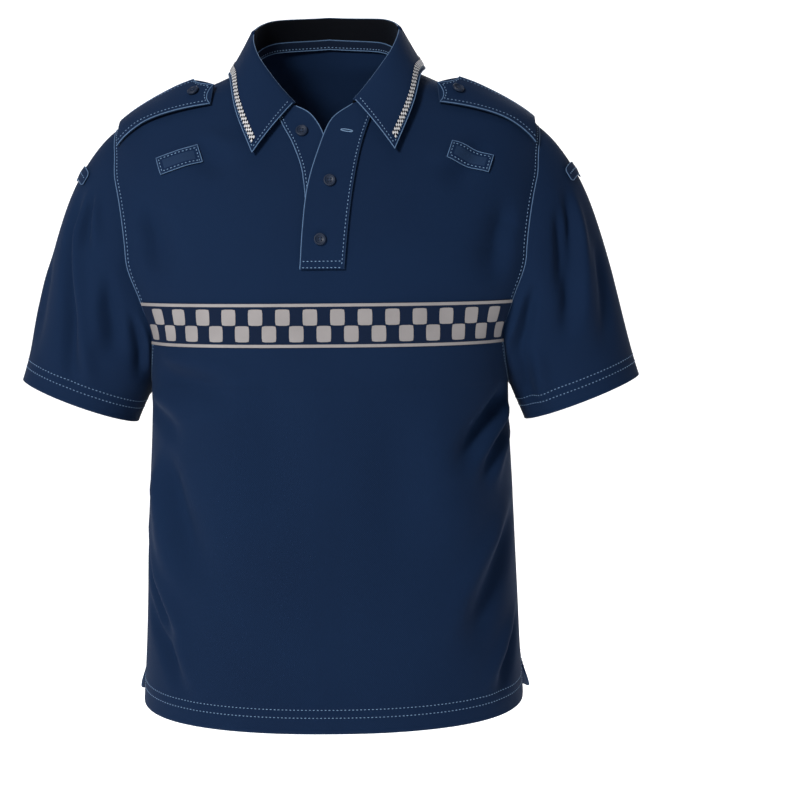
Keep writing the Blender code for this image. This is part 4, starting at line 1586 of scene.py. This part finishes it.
def loopSpot(side):
    tilt = math.radians(chestLoop["tilt"])

    def spot(across, up):
        x, z = across * chestLoop["size"][0] / 2, up * chestLoop["size"][1] / 2
        placeX = chestLoop["centre"][0] + x * math.cos(tilt) + z * math.sin(tilt)
        placeZ = chestLoop["centre"][1] - x * math.sin(tilt) + z * math.cos(tilt)
        swell = chestLoop["swell"] * (1 - up * up)
        return onFront(side * placeX, placeZ, chestLoop["lift"] + chestLoop["wall"] + swell)

    return spot


def roundBox(spot, insetX, insetZ):
    right, top = 1 - insetX, 1 - insetZ
    corners = [(-right, -top), (right, -top), (right, top), (-right, top), (-right, -top)]
    spots = []
    for (x, z), (nextX, nextZ) in zip(corners, corners[1:]):
        spots += [spot(x + (nextX - x) * step / 8, z + (nextZ - z) * step / 8) for step in range(8)]
    return spots + [spot(-right, -top)]


loopCords, loopStitches = [], []
for name, side in (("right", 1), ("left", -1)):
    onLoop = loopSpot(side)

    def loopWall(u, v):
        point, normal = onLoop(2 * u - 1, 2 * v - 1)
        across, up = chestLoop["size"]
        return point, normal * -chestLoop["wall"], min(min(u, 1 - u) * across, min(v, 1 - v) * up)

    # the middle faces of each loop take the painted highlight, the rim keeps the plain trim knit
    piece = clothWall("loop_" + name, 16, 8, chestLoop["size"], loopWall, [navyTrim, loopPaintedHighlight],
                      paint=lambda column, row: 1 if 1.5 < column < 14.5 and 1.5 < row < 6.5 else 0)
    declareCloth(softenEdges(piece, chestLoop["soften"]), "chest_loop_" + name,
                 chestLoop["size"], rests=["front_panel"])
    loopCords.append(roundBox(onLoop, 0.0, 0.0))
    loopStitches.append(roundBox(onLoop, *chestLoop["inset"]))
cordPiece("loop_edges", loopCords, radius=chestLoop["cord"])
sewPiece("stitches_loops", loopStitches)


# sleeve tabs

tab = {"along": 0.235, "halfWidth": 0.0080, "reach": math.radians(31.0), "straight": 0.90,
       "rounding": 0.60, "lean": 0.050, "wall": 0.0011, "lift": 0.0010, "swell": 0.0006,
       "cord": 0.00045, "soften": 0.0004, "flat": (0.086, 0.016)}


def tabSpot(onSleeve):
    def spot(end, across):  # both from -1 to 1
        swing = math.pi / 2 + tab["reach"] * end
        past = max(0.0, abs(end) - tab["straight"]) / (1 - tab["straight"])
        half = tab["halfWidth"] * math.sqrt(1 - tab["rounding"] * min(past, 1.0) ** 2)
        along = tab["along"] - tab["lean"] * abs(end) - across * half / sleeveLength(swing)
        swell = tab["swell"] * (1 - across * across)
        return onSleeve(swing, along, tab["lift"] + tab["wall"] + swell)

    return spot


tabCords, tabStitches = [], []
for name, onSleeve, flipped in (("right", onRightSleeve, False), ("left", onLeftSleeve, True)):
    onTab = tabSpot(onSleeve)

    def tabWall(u, v):
        point, normal = onTab(2 * u - 1, 2 * v - 1)
        return point, normal * -tab["wall"], min(v, 1 - v) * tab["flat"][1]

    piece = clothWall("tab_" + name, 60, 8, tab["flat"], tabWall, [navyTrim], mirrored=flipped)
    declareCloth(softenEdges(piece, tab["soften"]), "sleeve_tab_" + name, tab["flat"],
                 rests=["sleeve_cloth_" + name])
    lower = line(lambda end: onTab(end, -1.0), -1.0, 1.0, 60)
    upper = line(lambda end: onTab(end, 1.0), 1.0, -1.0, 60)
    outline = lower + upper + lower[:1]
    middle = line(lambda end: onTab(end, 0.0), -0.94, 0.94, 60)
    tabCords.append(mirrorLine(outline) if flipped else outline)
    tabStitches.append(mirrorLine(middle) if flipped else middle)
cordPiece("tab_edges", tabCords, radius=tab["cord"])
sewPiece("stitches_tabs", tabStitches)
print("loops and tabs made")


# buttons

button = {"radius": 0.0066, "height": 0.0030, "hole": 0.00075, "spread": 0.0014, "lift": 0.0002,
          "threadUp": 0.72, "threadLength": 1.7, "threadSize": (0.00042, 0.00034)}

# radius and height of the turned profile, from the underside to the middle of the dish
buttonProfile = ((0.0, 0.0), (0.80, 0.0), (0.93, 0.10), (1.0, 0.35), (0.99, 0.62), (0.93, 0.88), (0.84, 1.0),
                 (0.76, 0.96), (0.70, 0.80), (0.62, 0.70), (0.0, 0.66))


def buttonMesh():
    mesh = bmesh.new()
    verts = [mesh.verts.new((radius * button["radius"], 0, height * button["height"]))
             for radius, height in buttonProfile]
    edges = [mesh.edges.new(pair) for pair in zip(verts, verts[1:])]
    bmesh.ops.spin(mesh, geom=verts + edges, axis=(0, 0, 1), cent=(0, 0, 0), steps=36, angle=2 * math.pi,
                   use_merge=True)
    bmesh.ops.remove_doubles(mesh, verts=mesh.verts, dist=1e-7)
    bmesh.ops.recalc_face_normals(mesh, faces=mesh.faces)
    body = addObject("buttonBlank", mesh, [buttonPlastic], rides=False)
    drill = bmesh.new()
    for x in (-1, 1):
        for y in (-1, 1):
            place = Matrix.Translation((x * button["spread"], y * button["spread"], button["height"] / 2))
            bmesh.ops.create_cone(drill, cap_ends=True, segments=12, radius1=button["hole"],
                                  radius2=button["hole"], depth=button["height"] * 2, matrix=place)
    cutter = addObject("buttonDrill", drill, [buttonPlastic], rides=False)
    holes = body.modifiers.new("holes", "BOOLEAN")
    holes.operation = "DIFFERENCE"
    holes.solver = "EXACT"
    holes.object = cutter
    graph = bpy.context.evaluated_depsgraph_get()
    drilled = bpy.data.meshes.new_from_object(body.evaluated_get(graph))
    for thing in (body, cutter):
        bpy.data.objects.remove(thing, do_unlink=True)
    return drilled


def sewnThread(mesh, place):  # two crossed bars of thread over the dish
    for turn in (45.0, 135.0):
        bar = place @ Matrix.Translation((0, 0, button["height"] * button["threadUp"]))
        bar = bar @ Matrix.Rotation(math.radians(turn), 4, "Z")
        length = button["spread"] * button["threadLength"]
        bar = bar @ Matrix.Diagonal((length, *button["threadSize"], 1.0))
        bmesh.ops.create_icosphere(mesh, subdivisions=2, radius=1.0, matrix=bar)


blank = buttonMesh()
buttonLift = {"button_top": placket["underLift"], "button_middle": placket["overLift"],
              "button_bottom": placket["overLift"]}
buttonThreads = bmesh.new()


def setButton(node, point, normal):
    place = Matrix.Translation(point) @ normal.to_track_quat("Z", "Y").to_matrix().to_4x4()
    mesh = bmesh.new()
    mesh.from_mesh(blank)
    bmesh.ops.transform(mesh, matrix=place, verts=mesh.verts)
    piece = addObject(node + "_turned", mesh, [buttonPlastic])
    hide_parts(node)
    softenEdges(piece, 0.0001, 1)
    sewnThread(buttonThreads, place)


for node, lift in buttonLift.items():
    low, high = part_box(node)
    middle = (low + high) / 2
    setButton(node, *onFront(middle.x, middle.z, lift + button["lift"]))
for side, name in ((1, "right"), (-1, "left")):
    point, normal = strapSpot(0.0, strap["shoulder"], button["lift"])
    flip = Vector((side, 1, 1))
    setButton("epaulette_button_" + name, point * flip, normal * flip)
bpy.data.meshes.remove(blank)
addObject("button_threads", buttonThreads, [navyThread])
print("buttons made")


# floor, lights and camera

studio = {
    "floorDrop": 0.42,
    "floorAhead": 2.2,  # level this far behind the shirt, then a quarter turn up
    "sweep": 1.6,
    "floorNear": 4.0,
    "floorLength": 12.0,
    "floorHalf": 9.0,
    "glow": 0.62,
    "floor": shade(0.86, 0.86, 0.86),
    "world": shade(0.93, 0.95, 1.0),
    "worldStrength": 0.15,
    "cameraPlace": Vector((0.1073, -2.2, -0.1467)),
    "aim": Vector((0.0773, 0.0, -0.364)),
    "view": 22.91,
    "roll": -0.5,
    "sensor": 36.0,
}
# place, what it points at, size, power, colour
studioLights = {
    "key": ((-1.35, -2.3, 1.15), (0.0, 0.0, -0.35), 0.6, 84.0, (1.0, 0.98, 0.95)),
    "back": ((0.4, 2.4, 0.9), (0.0, 0.0, -0.35), 1.4, 30.0, (0.95, 0.97, 1.0)),
    "top": ((0.0, 0.2, 2.2), (0.0, 0.0, -0.3), 1.2, 8.0, (1.0, 1.0, 1.0)),
}


def makeStage():
    mesh = bmesh.new()
    bmesh.ops.create_grid(mesh, x_segments=1, y_segments=40, size=1.0)
    level, sweep = studio["floorAhead"], studio["sweep"]
    for vertex in mesh.verts:  # a floor that curves up into a backdrop
        run = (vertex.co.y + 1) / 2 * studio["floorLength"] - studio["floorNear"]
        turn = min(max((run - level) / sweep, 0.0), math.pi / 2)
        ahead = min(run, level) + sweep * math.sin(turn)
        rise = sweep * (1 - math.cos(turn)) + max(0.0, run - level - sweep * math.pi / 2)
        vertex.co = (vertex.co.x * studio["floorHalf"], ahead, cadLow.z - studio["floorDrop"] + rise)
    bmesh.ops.recalc_face_normals(mesh, faces=mesh.faces)
    paper = Finish("palePaper")
    grain = paper.cloudy(4.0)
    look = paper.finish(Base_Color=paper.mix(grain * 0.05, studio["floor"], shade(0.78, 0.78, 0.78)),
                        Roughness=0.95, Specular_IOR_Level=0.1, Emission_Strength=studio["glow"],
                        Emission_Color=shade(1.0, 1.0, 1.0))
    addObject("floor", mesh, [look], rides=False)


def addLight(name, place, aim, size, power, colour):
    data = bpy.data.lights.new(name, "AREA")
    data.shape = "RECTANGLE"
    data.size = data.size_y = size
    data.energy = power
    data.color = colour
    light = bpy.data.objects.new(name, data)
    light.location = place
    light.rotation_mode = "QUATERNION"
    light.rotation_quaternion = (Vector(aim) - Vector(place)).to_track_quat("-Z", "Y")
    bpy.context.scene.collection.objects.link(light)


def makeCamera():
    data = bpy.data.cameras.new("camera")
    data.sensor_width = studio["sensor"]
    data.lens = studio["sensor"] / 2 / math.tan(math.radians(studio["view"] / 2))
    camera = bpy.data.objects.new("camera", data)
    camera.location = studio["cameraPlace"]
    camera.rotation_mode = "QUATERNION"
    towards = (studio["aim"] - studio["cameraPlace"]).to_track_quat("-Z", "Y")
    roll = Matrix.Rotation(math.radians(studio["roll"]), 4, "Z").to_quaternion()
    camera.rotation_quaternion = towards @ roll
    bpy.context.scene.collection.objects.link(camera)
    bpy.context.scene.camera = camera


makeStage()
for name, settings in studioLights.items():
    addLight(name, *settings)
world = bpy.data.worlds.new("studio")
world.use_nodes = True
world.node_tree.nodes["Background"].inputs["Color"].default_value = studio["world"]
world.node_tree.nodes["Background"].inputs["Strength"].default_value = studio["worldStrength"]
bpy.context.scene.world = world
bpy.context.scene.view_settings.view_transform = "Standard"
makeCamera()
print("stage made")
